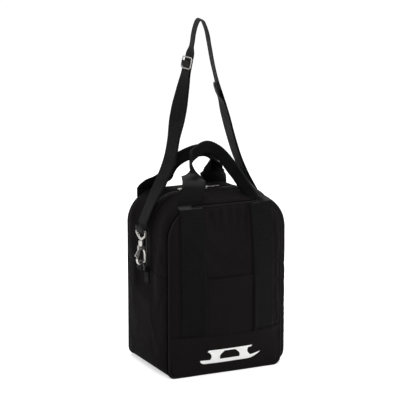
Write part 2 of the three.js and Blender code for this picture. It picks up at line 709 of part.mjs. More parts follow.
// Middle of the strap's main ply in X and Z. It folds round the left eye's bar, climbs to the top of the
// loop and comes down to the right eye's bar. The left leg is straight where the adjuster slides.
const EYE_LOOP_RADIUS = 4.2;
const SLIDE_LOW = [-68, 500];
const SLIDE_HIGH = [-27, 690];
const LEFT_LEG = [
  [-132.5, 334],
  [-117, 367],
  [-96.5, 405],
  [-79.5, 446],
];
const STRAP_TOP = [
  [-23, 708.5],
  [-18, 727],
  [-13.5, 736.5],
  [-9, 739.4],
  [-4.5, 736.5],
  [0.5, 726],
  [6.5, 708],
  [11, 690],
  [20, 645],
  [30, 607],
  [37, 584],
  [52, 532],
  [64, 490],
  [79.5, 444],
  [98, 404],
  [119, 367],
  [135, 334],
];

// Half loop round an eye's bar, from its outer side (away from the bag) to its inner side.
function eyeLoop(side) {
  const points = [[side * (RING_X + EYE_LOOP_RADIUS), EYE_BAR_Z + 8]];
  const steps = 6;
  for (let i = 0; i <= steps; i += 1) {
    const angle = (i / steps) * Math.PI;
    points.push([side * (RING_X + Math.cos(angle) * EYE_LOOP_RADIUS), EYE_BAR_Z - Math.sin(angle) * EYE_LOOP_RADIUS]);
  }
  points.push([side * (RING_X - EYE_LOOP_RADIUS), EYE_BAR_Z + 5]);
  return points;
}

const to3D = ([x, z]) => vec(x, 0, z);
const alongY = () => vec(0, 1, 0);

function strapBand(points) {
  return band(
    points.map(to3D),
    2,
    () => STRAP_WIDTH,
    () => STRAP_THICKNESS,
    alongY,
  );
}

// Moves a run of points sideways, to the left of the way the run goes.
function offsetRun(points, distance) {
  return points.map(([x, z], i) => {
    const [x0, z0] = points[Math.max(i - 1, 0)];
    const [x1, z1] = points[Math.min(i + 1, points.length - 1)];
    const length = Math.hypot(x1 - x0, z1 - z0);
    return [x - ((z1 - z0) / length) * distance, z + ((x1 - x0) / length) * distance];
  });
}

const mainRun = [...eyeLoop(-1), ...LEFT_LEG, SLIDE_LOW, SLIDE_HIGH, ...STRAP_TOP, ...[...eyeLoop(1)].reverse()];
add('strap_main', strapBand(mainRun), webbing());

// The adjusting ply runs up the outside of the left leg, from the eye to the adjuster.
const slideDirection = new THREE.Vector2(SLIDE_HIGH[0] - SLIDE_LOW[0], SLIDE_HIGH[1] - SLIDE_LOW[1]).normalize();
const slidePoint = (z) => [SLIDE_LOW[0] + ((z - SLIDE_LOW[1]) * slideDirection.x) / slideDirection.y, z];
const SQUASH_LOW_Z = 526;
const ADJUSTER_Z = 648;
const ADJUSTER_LEG = 16.5; // from the adjuster's middle down to the end of its sewn loop

const lowerPly = [
  [-RING_X + 3.2, EYE_BAR_Z + 15.5],
  ...offsetRun([...LEFT_LEG, SLIDE_LOW, slidePoint(SQUASH_LOW_Z - 0.5)], PLY_OFFSET),
];
add('strap_ply_lower', strapBand(lowerPly), webbing());
const upperPly = offsetRun(
  [slidePoint(SQUASH_LOW_Z), slidePoint(ADJUSTER_Z - (ADJUSTER_LEG + 1) * slideDirection.y)],
  PLY_OFFSET,
);
add('strap_ply_upper', strapBand(upperPly), webbing());

// Adjuster: a flat frame with a centre bar, standing just outside the two plies. Drawn about the origin with
// its length along Z and its outside towards +X, then laid along the straight of the left leg.
function onLeftLeg(geometry) {
  const tilt = Math.atan2(slideDirection.x, slideDirection.y);
  const [x, z] = slidePoint(ADJUSTER_Z);
  return geometry.rotateZ(Math.PI).rotateY(tilt).translate(x, 0, z);
}

const ADJUSTER_HALF_LENGTH = 13;
const ADJUSTER_HALF_WIDTH = 23;
const ADJUSTER_WINDOW_HALF_WIDTH = 20;
const ADJUSTER_BAR = 2; // half height of each bar
const PLATE_NEAR = 3.5; // from the middle of the main ply to the near and far faces of the frame
const PLATE_FAR = 5.5;

function adjusterFrame() {
  const corner = 4;
  const length = ADJUSTER_HALF_LENGTH;
  const width = ADJUSTER_HALF_WIDTH;
  const shape = new THREE.Shape();
  shape.moveTo(-width + corner, -length);
  shape.lineTo(width - corner, -length);
  shape.lineTo(width, -length + corner);
  shape.lineTo(width, length - corner);
  shape.lineTo(width - corner, length);
  shape.lineTo(-width + corner, length);
  shape.lineTo(-width, length - corner);
  shape.lineTo(-width, -length + corner);
  shape.closePath();
  for (const side of [-1, 1]) {
    const near = side * ADJUSTER_BAR;
    const far = side * (length - 2.6);
    const window = new THREE.Path();
    window.moveTo(-ADJUSTER_WINDOW_HALF_WIDTH, near);
    window.lineTo(-ADJUSTER_WINDOW_HALF_WIDTH, far);
    window.lineTo(ADJUSTER_WINDOW_HALF_WIDTH, far);
    window.lineTo(ADJUSTER_WINDOW_HALF_WIDTH, near);
    window.closePath();
    shape.holes.push(window);
  }
  return plateYZ(shape, PLATE_NEAR, PLATE_FAR);
}

// The strap's sewn end, folded round the adjuster's centre bar.
function adjusterLoop() {
  const inner = [PLATE_NEAR - GAP, PLATE_FAR + GAP];
  const outline = [
    [inner[0] - STRAP_THICKNESS, -ADJUSTER_LEG],
    [inner[0], -ADJUSTER_LEG],
    [inner[0], ADJUSTER_BAR + GAP],
    [inner[1], ADJUSTER_BAR + GAP],
    [inner[1], -ADJUSTER_BAR - GAP],
    [inner[0] + GAP, -8.6],
    [inner[0] + GAP + STRAP_THICKNESS, -9],
    [inner[1] + STRAP_THICKNESS, -ADJUSTER_BAR - GAP],
    [inner[1] + STRAP_THICKNESS, ADJUSTER_BAR],
    [inner[1], ADJUSTER_BAR + GAP + STRAP_THICKNESS],
    [inner[0], ADJUSTER_BAR + GAP + STRAP_THICKNESS],
    [inner[0] - STRAP_THICKNESS, ADJUSTER_BAR],
  ];
  const shape = new THREE.Shape(outline.map(([x, z]) => new THREE.Vector2(x, z)));
  return plateXZ(shape, -STRAP_WIDTH / 2, STRAP_WIDTH / 2);
}
add('strap_adjuster', onLeftLeg(adjusterFrame()), nickel());
add('strap_sewn_loop', onLeftLeg(adjusterLoop()), webbing());

// Fold-back on the right leg: it lies on the inside of the leg, and its free end stands off.
const rightLegUp = [
  [135, 334],
  [119, 367],
  [98, 404],
  [79.5, 444],
  [64, 490],
  [52, 532],
  [42, 567],
];
const foldBack = [...offsetRun(rightLegUp, PLY_OFFSET), [30.5, 583], [23, 597], [20, 607]];
add('strap_fold_back', strapBand(foldBack), webbing());

// ---- emblem ---------------------------------------------------------------------------------------------

// A plain transfer of a skate blade on the lower front panel: a runner that turns up at the toe, and two posts.
function emblem() {
  const centreX = 5;
  const halfLength = 70;
  const low = 28;
  const high = 58;
  const runnerHeight = 9;
  const ink = 0.8;
  const runnerSteps = 20;
  const toeLift = (x) => Math.max((x - centreX - halfLength + 26) / 26, 0) ** 2;
  const onPanel = (x, z, offset) => vec(x, -(DEPTH / 2 + bulgeAt(-1, x, z) + offset), z);
  const runnerSection = (i) => {
    const x = centreX - halfLength + (2 * halfLength * i) / runnerSteps;
    const z0 = low + 16 * toeLift(x);
    const z1 = low + runnerHeight + 9 * toeLift(x);
    const middle = (z0 + z1) / 2;
    const face = [z0, middle, z1].map((z) => onPanel(x, z, LAYER_GAP + ink));
    const back = [z1, middle, z0].map((z) => onPanel(x, z, LAYER_GAP));
    return [...face, ...back];
  };
  const runner = loft(Array.from({ length: runnerSteps + 1 }, (_, i) => runnerSection(i)));
  const post = (footLeft, footRight, headLeft, headRight) => {
    const foot = low + runnerHeight - 2;
    const share = (z) => (z - foot) / (high - foot);
    const left = (z) => centreX + THREE.MathUtils.lerp(footLeft, headLeft, share(z));
    const right = (z) => centreX + THREE.MathUtils.lerp(footRight, headRight, share(z));
    const rows = [foot, foot + 6, foot + 12, foot + 18, high];
    return bulgedLayer(-1, left, right, rows, LAYER_GAP, LAYER_GAP + ink, 4);
  };
  return join(runner, post(-48, -24, -52, -16), post(20, 46, 8, 38));
}
add('front_emblem', emblem(), whiteTransfer());

export default bag;
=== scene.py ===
"""Skate bag: the visible model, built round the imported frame.

Lengths are in millimetres in this script and become metres when a mesh is made. +Z is up, the front faces -Y.
"""

import json
import math

import bpy
import numpy as np
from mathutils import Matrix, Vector

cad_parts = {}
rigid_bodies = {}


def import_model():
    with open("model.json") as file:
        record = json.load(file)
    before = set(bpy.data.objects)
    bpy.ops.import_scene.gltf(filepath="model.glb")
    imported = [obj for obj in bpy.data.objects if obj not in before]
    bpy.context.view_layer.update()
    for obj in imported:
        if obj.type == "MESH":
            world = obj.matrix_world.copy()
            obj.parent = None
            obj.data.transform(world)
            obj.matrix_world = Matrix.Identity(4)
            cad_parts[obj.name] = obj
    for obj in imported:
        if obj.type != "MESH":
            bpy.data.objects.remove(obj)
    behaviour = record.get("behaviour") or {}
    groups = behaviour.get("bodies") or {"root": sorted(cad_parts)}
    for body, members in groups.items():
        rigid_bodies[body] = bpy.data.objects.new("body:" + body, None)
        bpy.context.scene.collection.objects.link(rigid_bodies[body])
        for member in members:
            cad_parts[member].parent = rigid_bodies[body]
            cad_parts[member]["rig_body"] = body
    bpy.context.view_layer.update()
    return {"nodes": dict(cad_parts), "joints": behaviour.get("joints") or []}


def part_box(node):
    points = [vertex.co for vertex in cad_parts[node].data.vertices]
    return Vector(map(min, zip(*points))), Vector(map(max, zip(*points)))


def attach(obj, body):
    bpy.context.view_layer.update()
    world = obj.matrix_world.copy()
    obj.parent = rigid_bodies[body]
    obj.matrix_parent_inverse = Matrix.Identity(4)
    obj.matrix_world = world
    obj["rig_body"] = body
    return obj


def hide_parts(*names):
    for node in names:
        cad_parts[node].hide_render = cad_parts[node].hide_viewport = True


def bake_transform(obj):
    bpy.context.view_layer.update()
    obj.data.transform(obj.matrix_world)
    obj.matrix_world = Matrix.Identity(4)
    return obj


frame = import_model()
MM = 0.001


def box_mm(node):
    return np.array(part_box(node)) / MM


# ---- sizes read from the frame ----

HALF = box_mm("right_side_gusset")[1][0]
SIDE_SEAM_Z = box_mm("right_side_gusset")[1][2]
TOP_Z = box_mm("front_piping")[1][2]
PIPING_Y = box_mm("rear_piping").mean(axis=0)[1]
PANEL_Y = PIPING_Y + 3.5  # the panels' flat edges
FRONT_BELLY = -box_mm("front_panel")[0][1] - PANEL_Y
BACK_BELLY = box_mm("back_panel")[1][1] - PANEL_Y
FRONT_SEAM_Z = box_mm("front_lower_panel")[1][2]
POCKET_TOP_Z = box_mm("front_pocket_panel")[1][2]
POCKET_HALF = box_mm("front_pocket_panel")[1][0]
STRIP_INNER, STRIP_OUTER = box_mm("front_right_strip")[:, 0]
STRIP_X = (STRIP_INNER + STRIP_OUTER) / 2
WEBBING_WIDTH = STRIP_OUTER - STRIP_INNER
HINGE_Z = 1000 * next(j for j in frame["joints"] if j["name"] == "front_handle_swing")["pos_m"][2]
GRIP_Z = box_mm("front_handle")[1][2] - WEBBING_WIDTH / 4
CROWN = box_mm("zip_tape_front")[1][2] - TOP_Z
TAPE_EDGE = box_mm("zip_tape_rear")[1][1]
COIL_HALF = box_mm("zip_coil")[1][1]
STRAP_WIDTH = box_mm("strap_main")[1][1] - box_mm("strap_main")[0][1]

# ---- sizes of the sewn details ----

TOP_RADIUS = 68  # corners of the front and back panels
BOTTOM_RADIUS = 18
CORD_RADIUS = 2.8
CORD_INSET = 2.7  # middle of the piping, in from the bag's outline
SEAM_Y = PIPING_Y + 1.5  # middle of the piping, front and back
SEAM_DEPTH = SEAM_Y - 3.2  # how far forward a panel's face is where it meets the piping
BELLY_Z = 165  # height of the fullest part of both panels
FABRIC = 1.4  # thickness of the panels' fabric
WEBBING_THICKNESS = 2.2
STRAP_THICKNESS = 1.7
PILLOW_REACH = 5  # how fast a panel rises from its seam
POCKET_TUCK = 7  # how far the pocket runs in under the strips
RIGHT_BELLY = 23  # how far each side stands out at its fullest, away from the hook
LEFT_BELLY = 8

LOW_ARC = BOTTOM_RADIUS * math.pi / 2
STRAIGHT = TOP_Z - TOP_RADIUS - BOTTOM_RADIUS
HIGH_ARC = TOP_RADIUS * math.pi / 2
ROW_END = LOW_ARC + STRAIGHT + HIGH_ARC  # length of a panel's side edge, from its bottom row to its top row
TOP_HALF = HALF - TOP_RADIUS
BOTTOM_HALF = HALF - BOTTOM_RADIUS


# ---- small maths ----


def unit(v):
    return v / np.maximum(np.linalg.norm(v, axis=-1, keepdims=True), 1e-9)


def stacked(*coordinates):
    """Separate coordinates as one array of points."""
    return np.stack(np.broadcast_arrays(*coordinates), axis=-1)


def smoothstep(x, low, high):
    t = np.clip((np.asarray(x, float) - low) / (high - low), 0, 1)
    return t * t * (3 - 2 * t)


def rise(distance, reach=PILLOW_REACH):
    return 1 - np.exp(-np.maximum(distance, 0) / reach)


def waves(u, v, size, seed, count=9):
    """Smooth unevenness between about -1 and 1 over a surface, with features about size across."""
    random = np.random.RandomState(seed)
    total = 0
    for _ in range(count):
        angle, phase = random.uniform(0, math.pi), random.uniform(0, 2 * math.pi)
        turns = 2 * math.pi / (size * random.uniform(0.7, 1.8))
        total = total + np.sin((u * math.cos(angle) + v * math.sin(angle)) * turns + phase)
    return total / math.sqrt(count) / 1.6


def creases(u, v, lines):
    """Soft ridges along segments. Each line is (u0, v0, u1, v1, height, width)."""
    total = 0
    for u0, v0, u1, v1, height, width in lines:
        length = math.hypot(u1 - u0, v1 - v0)
        along = ((u - u0) * (u1 - u0) + (v - v0) * (v1 - v0)) / length**2
        across = ((u - u0) * (v1 - v0) - (v - v0) * (u1 - u0)) / length
        fade = np.exp(-(((along - 0.5) / 0.45) ** 4))
        total = total + height * fade * np.exp(-((across / width) ** 2))
    return total


def run_length(points, power=1):
    """The length of a run of points up to each of them, or the sum of its steps to a power."""
    steps = np.linalg.norm(np.diff(points, axis=0), axis=1)
    return np.concatenate([[0], np.cumsum(steps**power)])


def between(t, t0, p0, t1, p1):
    return (t1 - t) / (t1 - t0) * p0 + (t - t0) / (t1 - t0) * p1


def through(points, count):
    """A smooth run of count points through the given ones (a centripetal Catmull-Rom curve)."""
    p = np.array(points, float)
    p = np.vstack([2 * p[0] - p[1], p, 2 * p[-1] - p[-2]])
    knots = run_length(p, 0.5)
    out = []
    for t in np.linspace(knots[1], knots[-2], count):
        i = int(np.clip(np.searchsorted(knots, t) - 1, 1, len(p) - 3))
        t0, t1, t2, t3 = knots[i - 1 : i + 3]
        a1 = between(t, t0, p[i - 1], t1, p[i])
        a2 = between(t, t1, p[i], t2, p[i + 1])
        a3 = between(t, t2, p[i + 1], t3, p[i + 2])
        out.append(between(t, t1, between(t, t0, a1, t2, a2), t2, between(t, t1, a2, t3, a3)))
    return np.array(out)


def evenly(points, step):
    """The same run with points every step along it."""
    lengths = run_length(points)
    count = max(int(round(lengths[-1] / step)), 2) + 1
    at = np.linspace(0, lengths[-1], count)
    return np.stack([np.interp(at, lengths, points[:, k]) for k in range(points.shape[1])], axis=1)


def quad_faces(index):
    """The faces of a grid whose points have these numbers."""
    return stacked(index[:-1, :-1], index[1:, :-1], index[1:, 1:], index[:-1, 1:]).reshape(-1, 4)


def keyed(shares, keys):
    """Values at shares of a run from keys of (share, value or vector), with smooth steps between them."""
    keys = [(s, np.atleast_1d(np.array(v, float))) for s, v in keys]
    out = np.zeros((len(shares), len(keys[0][1])))
    for row, s in enumerate(shares):
        k = max(i for i, key in enumerate(keys) if key[0] <= s + 1e-9)
        if k == len(keys) - 1:
            out[row] = keys[-1][1]
            continue
        t = float(smoothstep(s, keys[k][0], keys[k + 1][0]))
        out[row] = keys[k][1] * (1 - t) + keys[k + 1][1] * t
    return out


# ---- materials ----


class Nodes:
    """Builds one material's node tree."""

    def __init__(self, name):
        self.material = bpy.data.materials.new(name)
        self.material.use_nodes = True
        self.tree = self.material.node_tree
        self.shader = self.tree.nodes["Principled BSDF"]

    def add(self, kind, **inputs):
        node = self.tree.nodes.new("ShaderNode" + kind)
        for key, value in inputs.items():
            self.put(node, key, value)
        return node

    def put(self, node, key, value):
        name = key.replace("_", " ")
        if name in node.inputs:
            socket = node.inputs[name]
        elif key.startswith("in") and key[2:].isdigit():
            socket = node.inputs[int(key[2:])]
        else:
            setattr(node, key, value)
            return
        if isinstance(value, bpy.types.NodeSocket):
            self.tree.links.new(value, socket)
        else:
            socket.default_value = value

    def math(self, operation, a, b=0.0):
        return self.add("Math", operation=operation, in0=a, in1=b).outputs[0]

    def times(self, a, b):
        return self.math("MULTIPLY", a, b)

    def plus(self, a, b):
        return self.math("ADD", a, b)

    def mapped(self, scale=(1, 1, 1), kind="UV", turn=0.0):
        place = self.add("TexCoord").outputs[kind]
        return self.add("Mapping", Vector=place, Scale=scale, Rotation=(0, 0, turn)).outputs[0]

    def noise(self, vector, scale, detail=3.0, rough=0.55):
        return self.add("TexNoise", Vector=vector, Scale=scale, Detail=detail, Roughness=rough).outputs["Fac"]

    def ramp(self, value, low, high, from_low=0.0, from_high=1.0):
        ends = {"From_Min": from_low, "From_Max": from_high, "To_Min": low, "To_Max": high}
        return self.add("MapRange", Value=value, **ends).outputs[0]

    def mix(self, share, a, b):
        return self.add("Mix", data_type="RGBA", in0=share, in6=a, in7=b).outputs[2]

    def wave(self, coordinate, pitch):
        """0 to 1 and back, once per pitch, along one coordinate in metres."""
        turn = self.math("MULTIPLY", coordinate, math.pi / (pitch * MM))
        return self.math("ABSOLUTE", self.math("SINE", turn))

    def bump(self, height, distance):
        return self.add("Bump", Height=height, Distance=distance * MM, Strength=1.0).outputs[0]

    def finish(self, color, roughness, normal=None, **extra):
        self.put(self.shader, "Base_Color", color)
        self.put(self.shader, "Roughness", roughness)
        if normal is not None:
            self.put(self.shader, "Normal", normal)
        for key, value in extra.items():
            self.shader.inputs[key.replace("_", " ")].default_value = value
        return self.material


def rgb(r, g, b):
    return (r, g, b, 1.0)


def grey(level):
    return rgb(level, level, level)


def scaled(color, factor):
    return rgb(*(min(c * factor, 1.0) for c in color[:3]))


def woven(name, color, pitch, twill=False, sheen=0.012, rough=0.75, relief=0.16, shine=0.07):
    """Plain or twill polyester: crossing yarns from the piece's own UV, with slubs, lint and a soft sheen."""
    n = Nodes(name)
    uv = n.add("SeparateXYZ", Vector=n.mapped(turn=math.radians(45) if twill else 0.0))
    warp = n.wave(uv.outputs[0], pitch)
    weft = n.wave(uv.outputs[1], pitch * (0.62 if twill else 1.0))
    cross = n.times(n.math("POWER", warp, 0.6), n.math("POWER", weft, 0.6))
    slub = n.noise(n.mapped((1, 0.16, 1)), 900.0, 2.0)
    cloud = n.noise(n.mapped(), 22.0, 4.0)
    lint = n.ramp(n.noise(n.mapped(), 420.0, 1.0), 0.0, 1.0, 0.66, 0.8)
    tint = n.mix(cross, scaled(color, 0.45), color)
    tint = n.mix(n.ramp(cloud, 0.0, 0.55, 0.35, 0.7), tint, scaled(color, 1.6))
    tint = n.mix(n.times(lint, 0.18), tint, grey(0.03))
    height = n.plus(cross, n.times(slub, 0.5))
    normal = n.bump(height, relief)
    patchy = n.plus(cloud, n.times(slub, 0.4))
    roughness = n.ramp(patchy, rough - 0.1, rough + 0.12, 0.4, 1.0)
    soft = {"Sheen_Weight": sheen, "Sheen_Roughness": 0.45, "Sheen_Tint": rgb(0.85, 0.8, 0.8)}
    return n.finish(tint, roughness, normal, Specular_IOR_Level=shine, **soft)


def ribbed(name, color, rib, pick, sheen=0.012, rough=0.62, relief=0.4, painted_highlight=None):
    """Heavy webbing: ribs along its length, broken by the weft. Where it faces upward, as where it bends
    level, a painted highlight lightens its colour.
    """
    n = Nodes(name)
    uv = n.add("SeparateXYZ", Vector=n.mapped())
    across, along = uv.outputs[0], uv.outputs[1]
    ribs = n.math("POWER", n.wave(across, rib), 0.7)
    shifted = n.plus(along, n.times(across, pick / rib * 0.5))
    picks = n.wave(shifted, pick)
    weave = n.times(ribs, n.plus(n.times(picks, 0.6), 0.4))
    fibre = n.noise(n.mapped((3.0, 0.4, 1)), 700.0, 2.0)
    cloud = n.noise(n.mapped(), 30.0, 3.0)
    grain = n.noise(n.mapped((1, 0.7, 1)), 330.0, 1.0)
    coarse = n.times(grain, 0.9)
    tint = n.mix(weave, scaled(color, 0.35), color)
    tint = n.mix(n.ramp(grain, 0.0, 0.8, 0.42, 0.62), tint, grey(0.0008))
    tint = n.mix(n.ramp(cloud, 0.0, 0.5, 0.4, 0.75), tint, scaled(color, 1.9))
    # painted highlight: the colour is lightened where the surface normal points up, standing for light from
    # above
    if painted_highlight:
        facing = n.add("SeparateXYZ", Vector=n.add("NewGeometry").outputs["Normal"]).outputs[2]
        highlight_share = n.ramp(facing, 0.0, 1.0, 0.6, 0.9)
        tint = n.mix(n.times(highlight_share, n.plus(coarse, 0.4)), tint, painted_highlight)
    height = n.plus(n.math("SUBTRACT", weave, coarse), n.times(fibre, 0.25))
    roughness = n.ramp(n.plus(fibre, cloud), rough - 0.1, rough + 0.14, 0.7, 1.3)
    soft = {"Sheen_Weight": sheen, "Sheen_Roughness": 0.35, "Sheen_Tint": rgb(0.9, 0.95, 0.93)}
    return n.finish(tint, roughness, n.bump(height, relief), Specular_IOR_Level=0.075, **soft)


def plated(name, color, rough):
    """Nickel-plated casting: slight orange peel, fine scratches and duller handled patches."""
    n = Nodes(name)
    place = n.mapped(kind="Object")
    peel = n.noise(place, 900.0, 2.0)
    patch = n.noise(place, 160.0, 4.0)
    scratch = n.ramp(n.noise(n.mapped((1, 1, 9), "Object", 0.7), 1300.0, 1.0), 0.0, 1.0, 0.58, 0.7)
    tint = n.mix(n.ramp(patch, 0.0, 0.7, 0.4, 0.75), color, scaled(color, 0.72))
    height = n.plus(n.times(peel, 0.6), n.times(scratch, -0.4))
    worn = n.ramp(patch, rough - 0.06, rough + 0.14, 0.35, 0.7)
    roughness = n.plus(worn, n.times(scratch, 0.12))
    return n.finish(tint, roughness, n.bump(height, 0.03), Metallic=1.0)


def moulded(name, color, rough, grain=500.0, relief=0.05):
    """Moulded plastic with a fine spark-eroded grain and worn, shinier patches."""
    n = Nodes(name)
    place = n.mapped(kind="Object")
    fine = n.noise(place, grain * 4, 2.0)
    patch = n.noise(place, grain * 0.25, 3.0)
    tint = n.mix(n.ramp(patch, 0.0, 0.6, 0.4, 0.75), color, scaled(color, 1.7))
    return n.finish(tint, n.ramp(patch, rough - 0.12, rough + 0.1, 0.35, 0.7), n.bump(fine, relief))


def print_ink(name):
    """Thick white transfer ink: faint cloth texture showing through, pinholes and slightly uneven gloss."""
    n = Nodes(name)
    uv = n.add("SeparateXYZ", Vector=n.mapped())
    weave = n.times(n.wave(uv.outputs[0], 1.0), n.wave(uv.outputs[1], 1.0))
    pits = n.ramp(n.noise(n.mapped(), 1500.0, 2.0), 0.0, 1.0, 0.68, 0.78)
    cloud = n.noise(n.mapped(), 60.0, 3.0)
    tint = n.mix(n.ramp(cloud, 0.0, 1.0, 0.3, 0.8), rgb(0.86, 0.86, 0.85), rgb(0.76, 0.76, 0.75))
    tint = n.mix(n.times(pits, 0.5), tint, grey(0.3))
    height = n.math("SUBTRACT", n.times(weave, 0.5), pits)
    return n.finish(tint, n.ramp(cloud, 0.38, 0.55), n.bump(height, 0.08))


BLACK_CLOTH = rgb(0.0053, 0.0038, 0.0042)
BLACK_WEBBING = rgb(0.0028, 0.0030, 0.0029)
FABRIC_MATERIAL = woven("woven_polyester", BLACK_CLOTH, 0.95)
SIDE_MATERIAL = woven("side_twill", rgb(0.0036, 0.0025, 0.0028), 1.3, twill=True, shine=0.045)
# the handle webbing carries a painted highlight where it faces upward
WEBBING_MATERIAL = ribbed("ribbed_webbing", BLACK_WEBBING, 2.6, 1.5, painted_highlight=grey(0.03))
STRAP_MATERIAL = ribbed("strap_webbing", rgb(0.0085, 0.0088, 0.0086), 1.9, 1.2, rough=0.5)
CORD_MATERIAL = woven("piping_cover", rgb(0.0054, 0.0042, 0.0045), 0.8, twill=True, rough=0.62, shine=0.09)
# painted shade: a near-black material for the tubes that stand in for the shadow in the grooves beside the
# piping
GROOVE_SHADE_MATERIAL = woven("piping_groove_shade", rgb(0.0009, 0.0008, 0.0008), 0.6, sheen=0.0, rough=0.9, shine=0.02)
TAPE_MATERIAL = ribbed("zip_tape", grey(0.009), 1.0, 0.8, relief=0.15)
COIL_MATERIAL = moulded("zip_nylon", grey(0.012), 0.35, 300.0)
THREAD_MATERIAL = woven("sewing_thread", rgb(0.0048, 0.0045, 0.0046), 0.35, twill=True, rough=0.6, shine=0.12)
NICKEL = plated("nickel_plate", rgb(0.74, 0.72, 0.69), 0.24)
RING_MATERIAL = moulded("ring_plastic", grey(0.011), 0.4)
BOARD_MATERIAL = moulded("base_board_plastic", rgb(0.03, 0.03, 0.032), 0.6, 120.0, 0.2)
INK = print_ink("white_transfer")


# ---- mesh makers ----


SHARP_ANGLE = math.radians(50)


def link(thing):
    bpy.context.scene.collection.objects.link(thing)


def corner_values(mesh, values):
    """Values given for each point, spread to the corners of the faces."""
    corners = np.zeros(len(mesh.loops), np.int32)
    mesh.loops.foreach_get("vertex_index", corners)
    return np.asarray(values, float)[corners].astype(np.float32).ravel()


def make(name, points, faces, uv, material, body, slot, replaces=()):
    """A mesh object from points in millimetres. It rides on a body, or on none."""
    mesh = bpy.data.meshes.new(name)
    mesh.from_pydata((np.asarray(points, float) * MM).tolist(), [], faces)
    mesh.uv_layers.new(name="UVMap").data.foreach_set("uv", corner_values(mesh, np.asarray(uv, float) * MM))
    mesh.polygons.foreach_set("use_smooth", [True] * len(mesh.polygons))
    mesh.set_sharp_from_angle(angle=SHARP_ANGLE)
    mesh.materials.append(material)
    mesh.validate()
    piece = bpy.data.objects.new(name, mesh)
    link(piece)
    if body:
        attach(piece, body)
    if replaces:
        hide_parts(*replaces)
    return piece


def sheet_arrays(outer, thickness, uv, flip=False):
    """A closed sheet of cloth from a grid of points on its outer face: points, faces and UVs."""
    rows, cols = outer.shape[:2]
    down, across = np.gradient(outer, axis=0), np.gradient(outer, axis=1)
    normal = unit(np.cross(down, across)) * (-1 if flip else 1)
    inner = outer - normal * thickness
    edge_out = np.zeros_like(outer)
    edge_out[0] -= unit(down[0])
    edge_out[-1] += unit(down[-1])
    edge_out[:, 0] -= unit(across[:, 0])
    edge_out[:, -1] += unit(across[:, -1])
    middle = (outer + inner) / 2 + unit(edge_out) * thickness * 0.45
    count = rows * cols
    index = np.arange(count).reshape(rows, cols)
    quads = quad_faces(index)
    back = quads[:, ::-1] + count
    here = np.concatenate([index[0], index[1:, -1], index[-1, -2::-1], index[-2:0:-1, 0]])
    following = np.roll(here, -1)
    rim = np.arange(len(here)) + 2 * count
    rim_next = np.roll(rim, -1)
    upper = stacked(here, following, rim_next, rim)
    lower = stacked(rim, rim_next, following + count, here + count)
    faces = np.concatenate([quads, back, upper, lower])
    if flip:
        faces = faces[:, ::-1]
    outer, inner, middle = [part.reshape(-1, 3) for part in (outer, inner, middle)]
    uv = uv.reshape(-1, 2)
    points = np.concatenate([outer, inner, middle[here]])
    return points, faces.tolist(), np.concatenate([uv, uv, uv[here]])


def sheet(name, outer, thickness, uv, material, body, slot, replaces, flip=False):
    return make(name, *sheet_arrays(outer, thickness, uv, flip), material, body, slot, replaces)


def fabric_sheet(name, outer, uv, material, node, flip=False):
    """A sheet of the bag's fabric in place of a CAD node."""
    sheet(name, outer, FABRIC, uv, material, "shell", "bag_fabric", [node], flip)


def frames_along(points, closed=False):
    """Tangents and two steady side directions along a run of points."""
    if closed:
        tangent = unit(np.roll(points, -1, axis=0) - np.roll(points, 1, axis=0))
    else:
        tangent = unit(np.gradient(points, axis=0))
    first = np.cross(tangent[0], [0.0, 0.0, 1.0])
    if np.linalg.norm(first) < 0.2:
        first = np.cross(tangent[0], [0.0, 1.0, 0.0])
    side = [unit(first)]
    for t in tangent[1:]:
        side.append(unit(side[-1] - t * np.dot(side[-1], t)))
    side = np.array(side)
    return tangent, side, np.cross(tangent, side)


def tube_arrays(points, radius, sides, closed=False):
    """Points, faces and UVs of a round rod along a run of points. Open rods get rounded ends."""
    tangent, side, up = frames_along(points, closed)
    size = np.full(len(points), float(radius))
    if not closed:
        cap = [0.35, 0.75]
        lead = [points[0] - tangent[0] * size[0] * d for d in (0.62, 0.35)]
        tail = [points[-1] + tangent[-1] * size[-1] * d for d in (0.35, 0.62)]
        points = np.vstack([lead, points, tail])
        size = np.concatenate([[size[0] * c for c in cap], size, [size[-1] * c for c in cap[::-1]]])
        side = np.vstack([side[:1], side[:1], side, side[-1:], side[-1:]])
        up = np.vstack([up[:1], up[:1], up, up[-1:], up[-1:]])
    angles = np.arange(sides) / sides * 2 * math.pi
    ring = side[:, None] * np.cos(angles)[None, :, None] + up[:, None] * np.sin(angles)[None, :, None]
    verts = points[:, None] + ring * size[:, None, None]
    n = len(points)
    index = np.arange(n * sides).reshape(n, sides)
    around = np.roll(index, -1, axis=1)
    rows = n if closed else n - 1
    nxt, nxt_around = np.roll(index, -1, axis=0), np.roll(around, -1, axis=0)
    faces = stacked(index[:rows], around[:rows], nxt_around[:rows], nxt[:rows])
    faces = faces.reshape(-1, 4).tolist()
    if not closed:
        faces.append(index[0][::-1].tolist())
        faces.append(index[-1].tolist())
    length = run_length(points)
    girth = np.abs(angles - math.pi) * radius
    uv = np.stack(np.meshgrid(girth, length), axis=-1)
    return verts.reshape(-1, 3), faces, uv.reshape(-1, 2)


def joined(parts):
    """Several (points, faces, uvs) as one."""
    points, faces, uvs, start = [], [], [], 0
    for p, f, u in parts:
        points.append(p)
        uvs.append(u)
        faces += [[i + start for i in face] for face in f]
        start += len(p)
    return np.concatenate(points), faces, np.concatenate(uvs)


